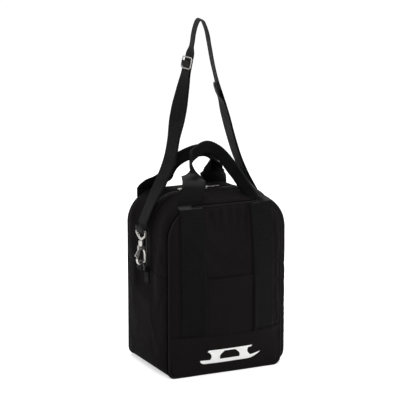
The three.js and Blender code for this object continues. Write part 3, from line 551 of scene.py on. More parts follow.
def repeated(template, origins, x_axes, y_axes, z_axes):
    """Copies of a small (points, faces, uvs) template, one in each frame."""
    points, faces, uvs = template
    if np.dot(np.cross(x_axes[0], y_axes[0]), z_axes[0]) < 0:
        faces = [face[::-1] for face in faces]
    moved = (
        origins[:, None]
        + points[None, :, :1] * x_axes[:, None]
        + points[None, :, 1:2] * y_axes[:, None]
        + points[None, :, 2:] * z_axes[:, None]
    )
    all_faces = [[i + k * len(points) for i in face] for k in range(len(origins)) for face in faces]
    return moved.reshape(-1, 3), all_faces, np.tile(uvs, (len(origins), 1))


STITCH = 3.0  # length of one stitch, and the space to the next
STITCH_GAP = 1.1
THREAD_RADIUS = 0.33


def stitch_line(path, normals):
    """A row of stitches lying along a path on a surface."""
    both = evenly(np.hstack([path, normals]), STITCH + STITCH_GAP)
    origins, normal = (both[1:, :3] + both[:-1, :3]) / 2, unit((both[1:, 3:] + both[:-1, 3:]) / 2)
    along = unit(both[1:, :3] - both[:-1, :3])
    side = unit(np.cross(normal, along))
    x = np.linspace(-STITCH / 2, STITCH / 2, 5)
    line = np.stack([x, 0 * x, 0.12 - 0.3 * (2 * x / STITCH) ** 4], axis=1)
    template = tube_arrays(line, THREAD_RADIUS, 6)
    return repeated(template, origins, along, side, normal)


def sewing(name, lines, slot="bag_fabric"):
    """One piece holding every stitch of a group of seams."""
    make(name, *joined([stitch_line(*line) for line in lines]), THREAD_MATERIAL, "shell", slot)


def cast(node, material, voxel=0.42, passes=3):
    """A die-cast or moulded piece: the CAD node's own shape with its edges rounded over."""
    source = frame["nodes"][node]
    piece = bpy.data.objects.new(node + "_cast", source.data.copy())
    link(piece)
    remesh = piece.modifiers.new("skin", "REMESH")
    remesh.mode = "VOXEL"
    remesh.voxel_size = voxel * MM
    smooth = piece.modifiers.new("round", "SMOOTH")
    smooth.factor = 0.5
    smooth.iterations = passes
    bpy.context.view_layer.update()
    mesh = bpy.data.meshes.new_from_object(piece.evaluated_get(bpy.context.evaluated_depsgraph_get()))
    piece.modifiers.clear()
    piece.data = mesh
    places = np.zeros(len(mesh.vertices) * 3, np.float32)
    mesh.vertices.foreach_get("co", places)
    uv = places.reshape(-1, 3)[:, 1:]
    mesh.uv_layers.new(name="UVMap").data.foreach_set("uv", corner_values(mesh, uv))
    mesh.materials.clear()
    mesh.materials.append(material)
    mesh.polygons.foreach_set("use_smooth", [True] * len(mesh.polygons))
    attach(piece, source["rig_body"])
    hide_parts(node)


# ---- the bag's surfaces ----


def side_edge(a, inset):
    """Height and half width of the panel's side edge at a, its length from the bottom row."""
    low = a / BOTTOM_RADIUS - math.pi / 2
    high = (a - LOW_ARC - STRAIGHT) / TOP_RADIUS
    bottom, top = a < LOW_ARC, a > LOW_ARC + STRAIGHT
    z = np.where(bottom, BOTTOM_RADIUS + (BOTTOM_RADIUS - inset) * np.sin(low), BOTTOM_RADIUS + a - LOW_ARC)
    w = np.where(bottom, BOTTOM_HALF + (BOTTOM_RADIUS - inset) * np.cos(low), HALF - inset)
    z = np.where(top, TOP_Z - TOP_RADIUS + (TOP_RADIUS - inset) * np.sin(high), z)
    w = np.where(top, TOP_HALF + (TOP_RADIUS - inset) * np.cos(high), w)
    return z, w


def row_at(z):
    """The side edge's length at height z, for heights on its straight part."""
    return LOW_ARC + z - BOTTOM_RADIUS


def corner_reach(x, z):
    """Whether x, z is in a rounded top corner of a panel, and how far it is inside that corner's arc."""
    corner = (np.abs(x) > TOP_HALF) & (z > TOP_Z - TOP_RADIUS)
    return corner, TOP_RADIUS - np.hypot(np.abs(x) - TOP_HALF, z - TOP_Z + TOP_RADIUS)


def from_strip(x):
    """How far x is from the edge of the nearer webbing strip. It is negative under the strip."""
    return np.abs(np.abs(x) - STRIP_X) - WEBBING_WIDTH / 2


# Soft ridges in the panels, each (x0, z0, x1, z1, height, width). Most hang from the top edge.
FRONT_CREASES = [
    (-30, 362, -24, 318, 2.8, 6), (-8, 362, -10, 306, 3.2, 7), (14, 362, 12, 320, 2.6, 6),
    (36, 362, 28, 300, 3.4, 7), (50, 350, 34, 300, -1.4, 9), (-52, 330, -22, 262, 1.2, 12),
    (52, 300, 8, 240, 1.4, 14), (-126, 262, -114, 330, 1.5, 8), (126, 240, 114, 330, 1.8, 8),
    (-124, 120, -112, 200, 1.0, 9), (60, 62, 118, 20, 1.2, 12), (-110, 60, -60, 18, 1.0, 12),
]
BACK_CREASES = [
    (-36, 362, -30, 312, 1.8, 8), (-4, 362, -2, 318, 2.0, 8), (30, 362, 26, 308, 1.9, 9),
    (-60, 240, 60, 214, 1.4, 16), (-90, 60, -20, 92, 1.4, 14), (100, 130, 40, 60, 1.6, 16),
    (-126, 220, -112, 320, 1.6, 8), (126, 180, 114, 300, 1.6, 8),
]


def panel_depth(x, z, front=True):
    """How far a panel's face stands from the bag's middle at x, z."""
    corner, from_arc = corner_reach(x, z)
    edges = np.where(corner, rise(from_arc), rise(HALF - np.abs(x)) * rise(TOP_Z - z)) * rise(z)
    below = np.clip((BELLY_Z - z) / BELLY_Z, 0, 1)
    above = np.clip((z - BELLY_Z) / (TOP_Z - BELLY_Z), 0, 1)
    belly = (1 - np.minimum(np.abs(x) / HALF, 1) ** 2) * (1 - below**4 - above**2.2)
    beside_strip = smoothstep(from_strip(x), -4, 8)
    folds = creases(x, z, FRONT_CREASES if front else BACK_CREASES) + 1.1 * waves(x, z, 95, 5 if front else 8)
    folds = folds + 0.35 * waves(x, z, 34, 11 if front else 12)
    full = FRONT_BELLY if front else BACK_BELLY
    return SEAM_DEPTH + (PANEL_Y - SEAM_DEPTH + 1) * edges + full * belly + folds * edges * beside_strip


def panel_grid(low, high, rows, cols, front=True, lift=lambda x, z: 0.0):
    """Points and UVs of part of a panel between two lengths of its side edge."""
    z, w = side_edge(np.linspace(low, high, rows), CORD_INSET)
    share = np.linspace(-1, 1, cols)
    x = w[:, None] * np.sign(share)[None] * np.abs(share)[None] ** 0.92
    z = np.broadcast_to(z[:, None], x.shape)
    y = panel_depth(x, z, front) + lift(x, z)
    points = stacked(x, -y if front else y, z)
    return points, stacked(x, z)


SETTLE_FRAMES = 16
PANEL_SLACK = 0.03  # how much larger than its place the cloth of a panel is
PANEL_SETTLE = 5.0  # furthest that cloth may move
SIDE_SLACK = 0.006
SIDE_SETTLE = 0.6
CLOTH = {
    "quality": 6,
    "mass": 0.35,
    "tension_stiffness": 20,
    "compression_stiffness": 20,
    "shear_stiffness": 8,
    "bending_stiffness": 0.6,
    "vertex_group_mass": "held",
}
CLOTH_GRAVITY = 0.5  # share of real gravity


def spread(count, most):
    """Up to most whole numbers spread over 0 to count - 1."""
    return np.linspace(0, count - 1, min(count, most)).round().astype(int)


def settled(outer, free, slack, seed, cap):
    """The same grid after its cloth has settled under its own weight. The cloth is a little larger than its
    place, so it buckles into soft folds. free is 0 where it is held and 1 where it can move."""
    rows, cols = outer.shape[:2]
    r, c = spread(rows, 64), spread(cols, 56)
    coarse, loose = outer[np.ix_(r, c)], free[np.ix_(r, c)]
    n, m = coarse.shape[:2]
    index = np.arange(n * m).reshape(n, m)
    quads = quad_faces(index)
    normal = unit(np.cross(np.gradient(coarse, axis=0), np.gradient(coarse, axis=1)))
    uneven = 0.4 * loose * np.random.RandomState(seed).uniform(-1, 1, loose.shape)
    start = coarse + normal * uneven[..., None]
    mesh = bpy.data.meshes.new("settling")
    mesh.from_pydata((start.reshape(-1, 3) * MM).tolist(), [], quads.tolist())
    cloth = bpy.data.objects.new("settling", mesh)
    link(cloth)
    held = cloth.vertex_groups.new(name="held")
    for i, share in enumerate(loose.ravel()):
        held.add([i], float(1 - share), "REPLACE")
    modifier = cloth.modifiers.new("cloth", "CLOTH")
    for key, value in CLOTH.items():
        setattr(modifier.settings, key, value)
    modifier.settings.shrink_min = -slack
    modifier.settings.effector_weights.gravity = CLOTH_GRAVITY
    modifier.point_cache.frame_end = SETTLE_FRAMES
    for number in range(1, SETTLE_FRAMES + 1):
        bpy.context.scene.frame_set(number)
    result = cloth.evaluated_get(bpy.context.evaluated_depsgraph_get()).to_mesh()
    places = np.zeros(n * m * 3, np.float32)
    result.vertices.foreach_get("co", places)
    bpy.data.objects.remove(cloth)
    bpy.context.scene.frame_set(1)
    moved = (places.reshape(n, m, 3) / MM - coarse) * np.sqrt(np.clip(loose, 0, 1))[..., None]
    length = np.linalg.norm(moved, axis=-1, keepdims=True)
    moved = moved * (cap * np.tanh(length / cap) / np.maximum(length, 1e-6))
    return outer + stretched(stretched(moved, c, cols).transpose(1, 0, 2), r, rows).transpose(1, 0, 2)


def stretched(rows, at, count):
    """Rows of vectors given at some whole numbers, filled in for 0 to count - 1."""
    fill = lambda row: np.stack([np.interp(np.arange(count), at, row[:, k]) for k in range(3)], axis=-1)
    return np.stack([fill(row) for row in rows])


def panel_free(grid, front):
    """Where a panel's cloth can move: away from its seams, the webbing strips and the pocket."""
    x, z = np.abs(grid[..., 0]), grid[..., 2]
    corner, from_arc = corner_reach(x, z)
    from_seam = np.where(corner, from_arc, np.minimum(HALF - x, TOP_Z - z))
    from_seam = np.minimum(from_seam, z - (FRONT_SEAM_Z if front else 0))
    free = smoothstep(from_seam, CORD_INSET + 2, 14) * smoothstep(from_strip(x), 0, 10)
    if front:
        free = free * np.maximum(smoothstep(z, POCKET_TOP_Z + 1, POCKET_TOP_Z + 14), x > STRIP_X)
    return free


def sewn_in(x):
    """1 where the strips' ends are caught in the seam of the lower panel."""
    return 1 - smoothstep(from_strip(x), -1, 9)


def hem_lift(x, z):
    """The lower panel's folded upper edge stands a little higher."""
    return (1.5 + 1.7 * sewn_in(x)) * smoothstep(z, FRONT_SEAM_Z - 16, FRONT_SEAM_Z - 3)


def panels():
    seam = row_at(FRONT_SEAM_Z)
    dip = lambda x, z: -1.0 * (1 - smoothstep(z, FRONT_SEAM_Z, FRONT_SEAM_Z + 7))
    upper, uv = panel_grid(seam - 2, ROW_END, 150, 110, lift=dip)
    upper = settled(upper, panel_free(upper, True), PANEL_SLACK, 3, PANEL_SETTLE)
    fabric_sheet("upper_front_cloth", upper, uv, FABRIC_MATERIAL, "front_panel", flip=True)
    lower, uv = panel_grid(0, seam, 56, 110, lift=hem_lift)
    fabric_sheet("lower_front_cloth", lower, uv, FABRIC_MATERIAL, "front_lower_panel", flip=True)
    back, uv = panel_grid(0, ROW_END, 190, 110, front=False)
    back = settled(back, panel_free(back, False), PANEL_SLACK, 4, PANEL_SETTLE)
    fabric_sheet("back_cloth", back, uv, FABRIC_MATERIAL, "back_panel")


LOOP_TOP = BOTTOM_HALF + ROW_END + TOP_HALF  # the middle of the top, along the bag's outline
LOOP_SIDE = BOTTOM_HALF + row_at(SIDE_SEAM_Z)  # the left side seam
LOOP_FAR_SIDE = 2 * LOOP_TOP - LOOP_SIDE  # the right side seam


def loop_station(s):
    """Point and outward direction on the bag's outline, s along it: up the left side from the middle of the
    bottom, over the top and down the right side. Both have X and Z only."""
    s = np.asarray(s, float)
    mirrored = s > LOOP_TOP
    q = np.where(mirrored, 2 * LOOP_TOP - s, s)
    a = q - BOTTOM_HALF
    z, w = side_edge(np.clip(a, 0, ROW_END), 0)
    low = np.clip(a, 0, LOW_ARC) / BOTTOM_RADIUS - math.pi / 2
    high = np.clip((a - LOW_ARC - STRAIGHT) / TOP_RADIUS, 0, math.pi / 2)
    angle = np.where(a < LOW_ARC, low, high)
    x = np.where(a < 0, -q, np.where(a > ROW_END, a - ROW_END - TOP_HALF, -w))
    side = np.where(mirrored, -1, 1)
    return stacked(x * side, z), stacked(-np.cos(angle) * side, np.sin(angle))


# Ridges in the side gussets and the zip gussets, each (s0, y0, s1, y1, height, width).
SIDE_CREASES = [
    (LOOP_SIDE - 190, -90, LOOP_SIDE - 120, -40, 0.6, 14),
    (LOOP_SIDE - 150, 30, LOOP_SIDE - 60, 80, 0.8, 18),
    (LOOP_SIDE - 30, -70, LOOP_SIDE - 90, -96, 0.6, 10),
    (LOOP_SIDE + 20, -84, LOOP_SIDE + 90, -40, 1.8, 9),
    (LOOP_SIDE + 16, -50, LOOP_SIDE + 96, -66, -1.4, 12),
    (LOOP_SIDE + 30, 40, LOOP_SIDE + 120, 88, 1.8, 12),
    (LOOP_SIDE + 120, -90, LOOP_SIDE + 150, -30, 1.5, 9),
    (LOOP_SIDE + 130, 24, LOOP_SIDE + 160, 92, 1.5, 10),
    (LOOP_TOP - 30, -92, LOOP_TOP - 20, -30, 1.2, 9),
    (LOOP_TOP + 24, -94, LOOP_TOP + 10, -30, 1.3, 9),
]


GROOVE_DEPTH = 5.0  # beside the piping
GROOVE_WIDTH = 3
HOOK_Z = 345  # below this the valley for the hook is smooth


def gusset_lift(s, y, normal, z):
    """How far the gusset stands out from the outline, y from the bag's middle."""
    from_seam = np.maximum(SEAM_Y - np.abs(y), 0)
    up, out = np.maximum(normal[..., 1], 0), np.abs(normal[..., 0])
    bottom = smoothstep(-normal[..., 1], 0.05, 0.6)
    valley_half = 50 + 20 * smoothstep(z, 220, 280)  # wider above, where the strap swings past the top corner
    hook_valley = np.exp(-((y / valley_half) ** 6)) * smoothstep(z, 150, 190)
    right = s > LOOP_TOP
    fullness = rise(SEAM_Y + y, np.where(right, 12, 26)) * rise(SEAM_Y - y, np.where(right, 45, 26))
    belly = np.where(right, RIGHT_BELLY, LEFT_BELLY)
    side = belly * out * (1 - 0.95 * hook_valley) * smoothstep(z, -8, 26) * fullness
    top = (4 * rise(from_seam, 8) + (CROWN - 4) * np.cos(np.pi * y / (2 * SEAM_Y))) * up**3
    mirror = np.where(right, 2 * LOOP_TOP - s, s)
    folds = creases(mirror, np.where(right, -y, y), SIDE_CREASES) + 0.5 * waves(s, y, 80, 21)
    calm = smoothstep(np.abs(y), TAPE_EDGE + 2, TAPE_EDGE + 26) * rise(from_seam, 12) * (1 - bottom)
    calm = calm * (1 - 0.9 * hook_valley * (z < HOOK_Z))
    lift = (side + top) * (1 - bottom) - GROOVE_DEPTH * np.exp(-from_seam / GROOVE_WIDTH) + folds * calm
    return np.where(bottom > 0.5, np.minimum(lift, 0), lift)


def gusset_points(s, y, extra=0.0):
    place, normal = loop_station(s)
    lift = gusset_lift(s, y, normal, place[..., 1]) + extra
    at = place + normal * lift[..., None]
    return stacked(at[..., 0], y, at[..., 1])


def mesh_grid(u0, u1, v0, v1, rows, cols):
    return np.meshgrid(np.linspace(u0, u1, rows), np.linspace(v0, v1, cols), indexing="ij")


def gusset_grid(s0, s1, y0, y1, rows, cols, extra):
    s, y = mesh_grid(s0, s1, y0, y1, rows, cols)
    return gusset_points(s, y, extra(s, y)), stacked(y, s)


def seam_dip(s, y):
    """The groove along both side seams."""
    return -1.3 * np.exp(-np.minimum(np.abs(s - LOOP_SIDE), np.abs(s - LOOP_FAR_SIDE)) / 3)


def folded_edge(s, y):
    """The cloth is turned under beside the zip, so it stands a little higher there."""
    return seam_dip(s, y) + 1.0 * (1 - smoothstep(np.abs(y), TAPE_EDGE + 7, TAPE_EDGE + 10))


def gussets():
    edge = SEAM_Y - 0.6
    for name, y0, y1 in (("front", -edge, -TAPE_EDGE + 0.5), ("rear", TAPE_EDGE - 0.5, edge)):
        grid, uv = gusset_grid(LOOP_SIDE, LOOP_FAR_SIDE, y0, y1, 200, 44, folded_edge)
        node = "zip_gusset_" + name
        fabric_sheet(node + "_cloth", grid, uv, SIDE_MATERIAL, node)
    start = BOTTOM_HALF - 0.5
    for name, s0, s1 in (("left", start, LOOP_SIDE), ("right", LOOP_FAR_SIDE, 2 * LOOP_TOP - start)):
        grid, uv = gusset_grid(s0, s1, -edge, edge, 100, 90, seam_dip)
        low, high = grid[..., 2] - BOTTOM_RADIUS, SIDE_SEAM_Z - grid[..., 2]
        free = smoothstep(edge - np.abs(grid[..., 1]), 2, 16) * smoothstep(low, 0, 30)
        free = free * smoothstep(high, 0, 24)
        off_tab = smoothstep(np.hypot(grid[..., 1] / 34, np.minimum(high, 60) / 60), 0.9, 1.6)
        grid = settled(grid, free * off_tab, SIDE_SLACK, 6, SIDE_SETTLE)
        node = name + "_side_gusset"
        fabric_sheet(node + "_cloth", grid, uv, SIDE_MATERIAL, node)
    x, y = mesh_grid(-BOTTOM_HALF, BOTTOM_HALF, -edge, edge, 60, 50)
    from_seam = SEAM_Y - np.abs(y)
    z = 2.4 * np.exp(-from_seam / 4) + 0.25 * (1 + waves(x, y, 60, 31)) * rise(from_seam)
    bottom, uv = stacked(x, y, z), stacked(x, y)
    fabric_sheet("bottom_cloth", bottom, uv, FABRIC_MATERIAL, "bottom_panel", flip=True)


# Painted shade: thin near-black tubes in the grooves either side of each piping cord.
GROOVE_SHADE_RADIUS = 1.1
GROOVE_SHADE_LINES = [(2.9, -2.8), (-3.6, 0.9)]  # from the cord: out of the outline, and away from the middle


def pipings():
    """Covered cords round both panels. A near-black tube lies in the groove on either side of each cord as
    painted shade.
    """
    s = np.linspace(0, 2 * LOOP_TOP, 420)[:-1]
    place, normal = loop_station(s)
    at = place - normal * CORD_INSET
    for name, side in (("front_piping", -1), ("rear_piping", 1)):
        sway = 0.35 * waves(s, 0 * s, 70, 41 + side)
        y = side * (SEAM_Y + sway)
        cord = tube_arrays(stacked(at[:, 0], y, at[:, 1]), CORD_RADIUS, 10, closed=True)
        make(name + "_cord", *cord, CORD_MATERIAL, "shell", "piping", [name])
        lines = []
        for outward, forward in GROOVE_SHADE_LINES:
            edge = at + normal * outward
            line = stacked(edge[:, 0], y + side * forward, edge[:, 1])
            lines.append(tube_arrays(line, GROOVE_SHADE_RADIUS, 8, closed=True))
        make(name + "_groove_shade", *joined(lines), GROOVE_SHADE_MATERIAL, "shell", "piping")


def pocket_depth(x, z):
    middle = (1 - (x / POCKET_HALF) ** 2).clip(0)
    gape = 1.6 * middle * smoothstep(z, POCKET_TOP_Z - 45, POCKET_TOP_Z)
    hem = 0.6 * smoothstep(z, POCKET_TOP_Z - 17, POCKET_TOP_Z - 15)
    seam = -1.4 * (1 - smoothstep(z, FRONT_SEAM_Z, FRONT_SEAM_Z + 8))
    return panel_depth(x, z) + FABRIC + 0.3 + gape + hem + seam


def pocket():
    """Slip pocket between the strips, with a folded hem that gapes a little in the middle."""
    half = POCKET_HALF + POCKET_TUCK
    x, z = mesh_grid(-half, half, FRONT_SEAM_Z - 1, POCKET_TOP_Z, 70, 70)
    grid, uv = stacked(x, -pocket_depth(x, z), z), stacked(x, z)
    fabric_sheet("slip_pocket_cloth", grid, uv, FABRIC_MATERIAL, "front_pocket_panel")


# ---- zip ----


TAPE_THICKNESS = 0.8
TOOTH_PITCH = 2.0
TOOTH_RADIUS = 0.55


def zip_parts():
    sunk = lambda s, y: -0.35
    for name, y0, y1 in (("front", -TAPE_EDGE - 1, -1.4), ("rear", 1.4, TAPE_EDGE + 1)):
        grid, uv = gusset_grid(LOOP_SIDE + 1, LOOP_FAR_SIDE - 1, y0, y1, 200, 8, sunk)
        node = "zip_tape_" + name
        sheet(node + "_weave", grid, TAPE_THICKNESS, uv, TAPE_MATERIAL, "shell", "zip_tape", [node])
    s = np.arange(LOOP_SIDE + 3, LOOP_FAR_SIDE - 3, TOOTH_PITCH)
    normal = loop_station(s)[1]
    middle = gusset_points(s, 0 * s)
    out = stacked(normal[:, 0], 0 * s, normal[:, 1])
    along = stacked(normal[:, 1], 0 * s, -normal[:, 0])
    across = np.tile([0.0, 1.0, 0.0], (len(s), 1))
    t = np.linspace(0, math.pi, 7)
    loop = np.stack([0.35 * np.cos(t), COIL_HALF * 0.9 - 3.1 * np.sin(t / 2), 0.5 * np.sin(t)], axis=1)
    tooth = tube_arrays(loop[::-1], TOOTH_RADIUS, 6)
    teeth = []
    for side, shift in ((1, 0.0), (-1, TOOTH_PITCH / 2)):
        teeth.append(repeated(tooth, middle + along * shift + out * 0.15, along, across * side, out))
    make("zip_coil_teeth", *joined(teeth), COIL_MATERIAL, "shell", "zip_tape", ["zip_coil"])


# ---- webbing ----


FOLD_RADIUS = 1.9
BAND_COLUMNS = 17


def folded_grid(centres, fold_to, fold):
    """Mid surface of a webbing band. At fold 0 it lies flat; at 1 it is folded in half towards fold_to."""
    tangent = unit(np.gradient(centres, axis=0))
    lean = unit(fold_to - tangent * np.sum(fold_to * tangent, axis=1, keepdims=True))
    side = np.cross(lean, tangent)
    side[:, 2] *= 1 - 0.85 * (1 - np.clip(fold, 0, 1)) ** 2
    side = unit(side)
    share = np.linspace(-1, 1, BAND_COLUMNS)
    q = np.sign(share) * np.abs(share) ** 1.25 * WEBBING_WIDTH / 2
    phi = np.clip(fold, 0, 1)[:, None] * math.pi / 2
    reach = np.maximum(np.abs(q)[None] - FOLD_RADIUS * phi, 0)
    turned = np.minimum(np.abs(q)[None] / FOLD_RADIUS, phi)
    sideways = np.sign(q)[None] * (FOLD_RADIUS * np.sin(turned) + reach * np.cos(phi))
    leaning = FOLD_RADIUS * (1 - np.cos(turned)) + reach * np.sin(phi) - WEBBING_WIDTH / 4 * np.sin(phi)
    grid = centres[:, None] + side[:, None] * sideways[..., None] + lean[:, None] * leaning[..., None]
    length = run_length(centres)
    return grid, stacked(q[None], length[:, None])


def band(name, grid, uv, thickness, material, body, nodes):
    """A webbing piece from its mid surface."""
    down, across = np.gradient(grid, axis=0), np.gradient(grid, axis=1)
    outer = grid + unit(np.cross(down, across)) * thickness / 2
    return sheet(name, outer, thickness, uv, material, body, "webbing", nodes)


CORD_CROSSING_Z = (318, 350)  # the heights over which a strip lifts to cross the piping


def strip_depth(x, z, front):
    """Depth of a webbing strip's inner face. It crosses the pocket, and the piping at the top edge."""
    over_panel = panel_depth(x, z, front) + 0.7
    if front:
        pocket_edge = POCKET_HALF + POCKET_TUCK
        over_pocket = 1 - smoothstep(np.abs(x), pocket_edge - 3, pocket_edge + 6)
        over_pocket = over_pocket * (1 - smoothstep(z, POCKET_TOP_Z - 3, POCKET_TOP_Z + 9))
        tucked = 1 - smoothstep(z, FRONT_SEAM_Z, FRONT_SEAM_Z + 12)
        over_panel = over_panel + 2.1 * over_pocket - 1.7 * tucked
    over_cord = (SEAM_Y + CORD_RADIUS + 0.4) * smoothstep(z, *CORD_CROSSING_Z)
    return np.logaddexp(over_panel, over_cord)


# Routes of the two handles, in shares: across the bag from leg to leg, inwards from the panel to the bag's
# middle, and up from the top edge to the middle of the grip.
FRONT_ROUTE = [
    (-0.99, 0.105, 0.03), (-0.95, 0.12, 0.15), (-0.81, 0.20, 0.35), (-0.69, 0.37, 0.51),
    (-0.60, 0.63, 0.68), (-0.49, 0.80, 0.86), (-0.27, 0.87, 0.97), (0.02, 0.91, 1.03),
    (0.30, 0.89, 0.93), (0.49, 0.82, 0.78), (0.64, 0.71, 0.62), (0.76, 0.56, 0.45), (0.85, 0.39, 0.29),
    (0.92, 0.22, 0.15), (0.975, 0.105, 0.03),
]
REAR_ROUTE = [
    (-1.005, 0.01, 0.05), (-1.01, 0.09, 0.11), (-0.98, 0.22, 0.19), (-0.90, 0.40, 0.32),
    (-0.81, 0.58, 0.52), (-0.65, 0.74, 0.72), (-0.43, 0.86, 0.85), (-0.17, 0.93, 0.93),
    (0.12, 0.93, 0.92), (0.32, 0.86, 0.83), (0.44, 0.75, 0.69), (0.52, 0.58, 0.51), (0.63, 0.40, 0.37),
    (0.78, 0.21, 0.24), (0.93, 0.08, 0.13), (0.99, 0.01, 0.05),
]


def handle(name, front, route, folds, leans):
    """One length of webbing: up a strip, round the handle and down the other strip. It bends at the top edge.
    folds and leans are keys along the handle: how far it is folded in half, and towards where."""
    side = -1 if front else 1
    zs = np.linspace(FRONT_SEAM_Z - 2.5, HINGE_Z - 3, 110)
    depth = strip_depth(STRIP_X + 0 * zs, zs, front) + WEBBING_THICKNESS / 2
    base_depth = float(depth[-1])
    rise_to = GRIP_Z - HINGE_Z
    loop = [(STRIP_X * x, side * base_depth * (1 - y), HINGE_Z + rise_to * z) for x, y, z in route]
    ends = [(-STRIP_X, side * base_depth, zs[-1]), (STRIP_X, side * base_depth, zs[-1])]
    loop = evenly(through([ends[0]] + loop + [ends[1]], 400), 2.2)
    left = stacked(-STRIP_X + 0 * zs, side * depth, zs)
    right = left[::-1] * [-1, 1, 1]
    centres = np.concatenate([left[:-1], loop, right[1:]])
    shares = np.linspace(0, 1, len(loop))
    n = len(left) - 1
    fold = np.concatenate([np.zeros(n), keyed(shares, folds)[:, 0], np.zeros(n)])
    flat = [np.tile(leans[k][1], (n, 1)) for k in (0, -1)]
    lean = np.concatenate([flat[0], keyed(shares, leans), flat[1]])
    grid, uv = folded_grid(centres, lean, fold)
    for rows in (slice(0, n), slice(len(grid) - n, None)):
        x, z = grid[rows, :, 0], grid[rows, :, 2]
        grid[rows, :, 1] = side * (strip_depth(x, z, front) + WEBBING_THICKNESS / 2)
    hand = "front" if front else "rear"
    nodes = [hand + "_left_strip", hand + "_right_strip", hand + "_handle"]
    piece = band(name, grid, uv, WEBBING_THICKNESS, WEBBING_MATERIAL, None, nodes)
    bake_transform(piece)


def handles():
    level, over = (0, 1, 0), (0, 0.1, -1)
    folds = [(0, 0), (0.19, 0), (0.235, 0.24), (0.292, 1), (0.6, 1), (0.74, 0.75), (0.88, 0.58)]
    folds += [(0.96, 0.4), (1, 0)]
    leans = [(0, level), (0.215, level), (0.31, (0.3, 0.54, -0.79)), (0.4, over), (0.62, over), (1, level)]
    handle("front_webbing", True, FRONT_ROUTE, folds, leans)
    level, over = (0, -1, 0), (0, -0.1, -1)
    folds = [(0, 0), (0.1, 0.05), (0.34, 0.9), (0.45, 1), (0.6, 1), (0.72, 0.45), (0.84, 0.02), (1, 0)]
    leans = [(0, level), (0.1, level), (0.4, over), (0.6, over), (1, level)]
    handle("rear_webbing", False, REAR_ROUTE, folds, leans)


# ---- stitches and print ----


def on_strip(x, z, front):
    """A point on the outer face of a webbing strip."""
    y = strip_depth(x, z, front) + WEBBING_THICKNESS + 0.05
    return stacked(x, -y if front else y, z)


def seam_line(place, *ends):
    """A path on a surface, through ends in the surface's own two coordinates, and its outward normals."""
    flat = evenly(np.array(ends, float), 2.0)
    at = place(flat[:, 0], flat[:, 1])
    du = place(flat[:, 0] + 0.5, flat[:, 1]) - at
    dv = place(flat[:, 0], flat[:, 1] + 0.5) - at
    normal = unit(np.cross(du, dv))
    outward = np.sign(np.sum(normal * (at - [0, 0, 180]), axis=1, keepdims=True))
    return at, normal * outward


STITCH_INSET = 4  # of the rows along a strip, in from its edges
STRIP_ROWS_TOP = 336
BOX_ROWS = {-1: (312, 256, 238), 1: (312, 280, 246)}  # heights of the rows across the left and right strips


def strip_rows(front):
    """Rows down both edges of each strip, across its top, and a crossed box."""
    strip = lambda x, z: on_strip(x, z, front)
    rows = []
    for side, heights in BOX_ROWS.items():
        inner, outer = side * (STRIP_INNER + STITCH_INSET), side * (STRIP_OUTER - STITCH_INSET)
        box_top, box_bottom = heights[:2]
        rows += [((x, FRONT_SEAM_Z + 1), (x, STRIP_ROWS_TOP)) for x in (inner, outer)]
        rows += [((inner, z), (outer, z)) for z in heights]
        rows += [((inner, box_top), (outer, box_bottom)), ((outer, box_top), (inner, box_bottom))]
        rows.append(((inner, STRIP_ROWS_TOP), (outer, STRIP_ROWS_TOP)))
    return [seam_line(strip, *row) for row in rows]


def stitches():
    sewing("front_strip_stitches", strip_rows(True), "webbing")
    sewing("rear_strip_stitches", strip_rows(False), "webbing")
    hem = lambda x, z: stacked(x, -(panel_depth(x, z) + 0.1 + hem_lift(x, z)), z)
    edge, z = HALF - CORD_INSET - 3, FRONT_SEAM_Z - 4
    sewing("lower_seam_stitches", [seam_line(hem, (-edge, z), (edge, z))])
    pocket_face = lambda x, z: stacked(x, -pocket_depth(x, z) - 0.05, z)
    edge = POCKET_HALF - 2
    rows = [((-edge, z), (edge, z)) for z in (POCKET_TOP_Z - 3, POCKET_TOP_Z - 14)]
    sewing("pocket_hem_stitches", [seam_line(pocket_face, *row) for row in rows])
    gusset = lambda y, s: gusset_points(s, y, folded_edge(s, y) + 0.05)
    edge, start, end = SEAM_Y - 5, LOOP_SIDE + 4, LOOP_FAR_SIDE - 4
    rows = [((y, start), (y, end)) for y in (-TAPE_EDGE - 2, -TAPE_EDGE - 8, TAPE_EDGE + 2, TAPE_EDGE + 8)]
    rows += [((-edge, s), (edge, s)) for s in (start, end)]
    sewing("gusset_stitches", [seam_line(gusset, *row) for row in rows])


INK_THICKNESS = 0.35
RUNNER_HEIGHT = 8
PLATE_HEIGHT = 3.6
PLATE_ENDS = (-56, 46)
POSTS = (((-48, -26), (-53, -17)), ((20, 46), (8, 39)))  # ends of each post's foot and head, from the middle
POST_PINCH = 4.5


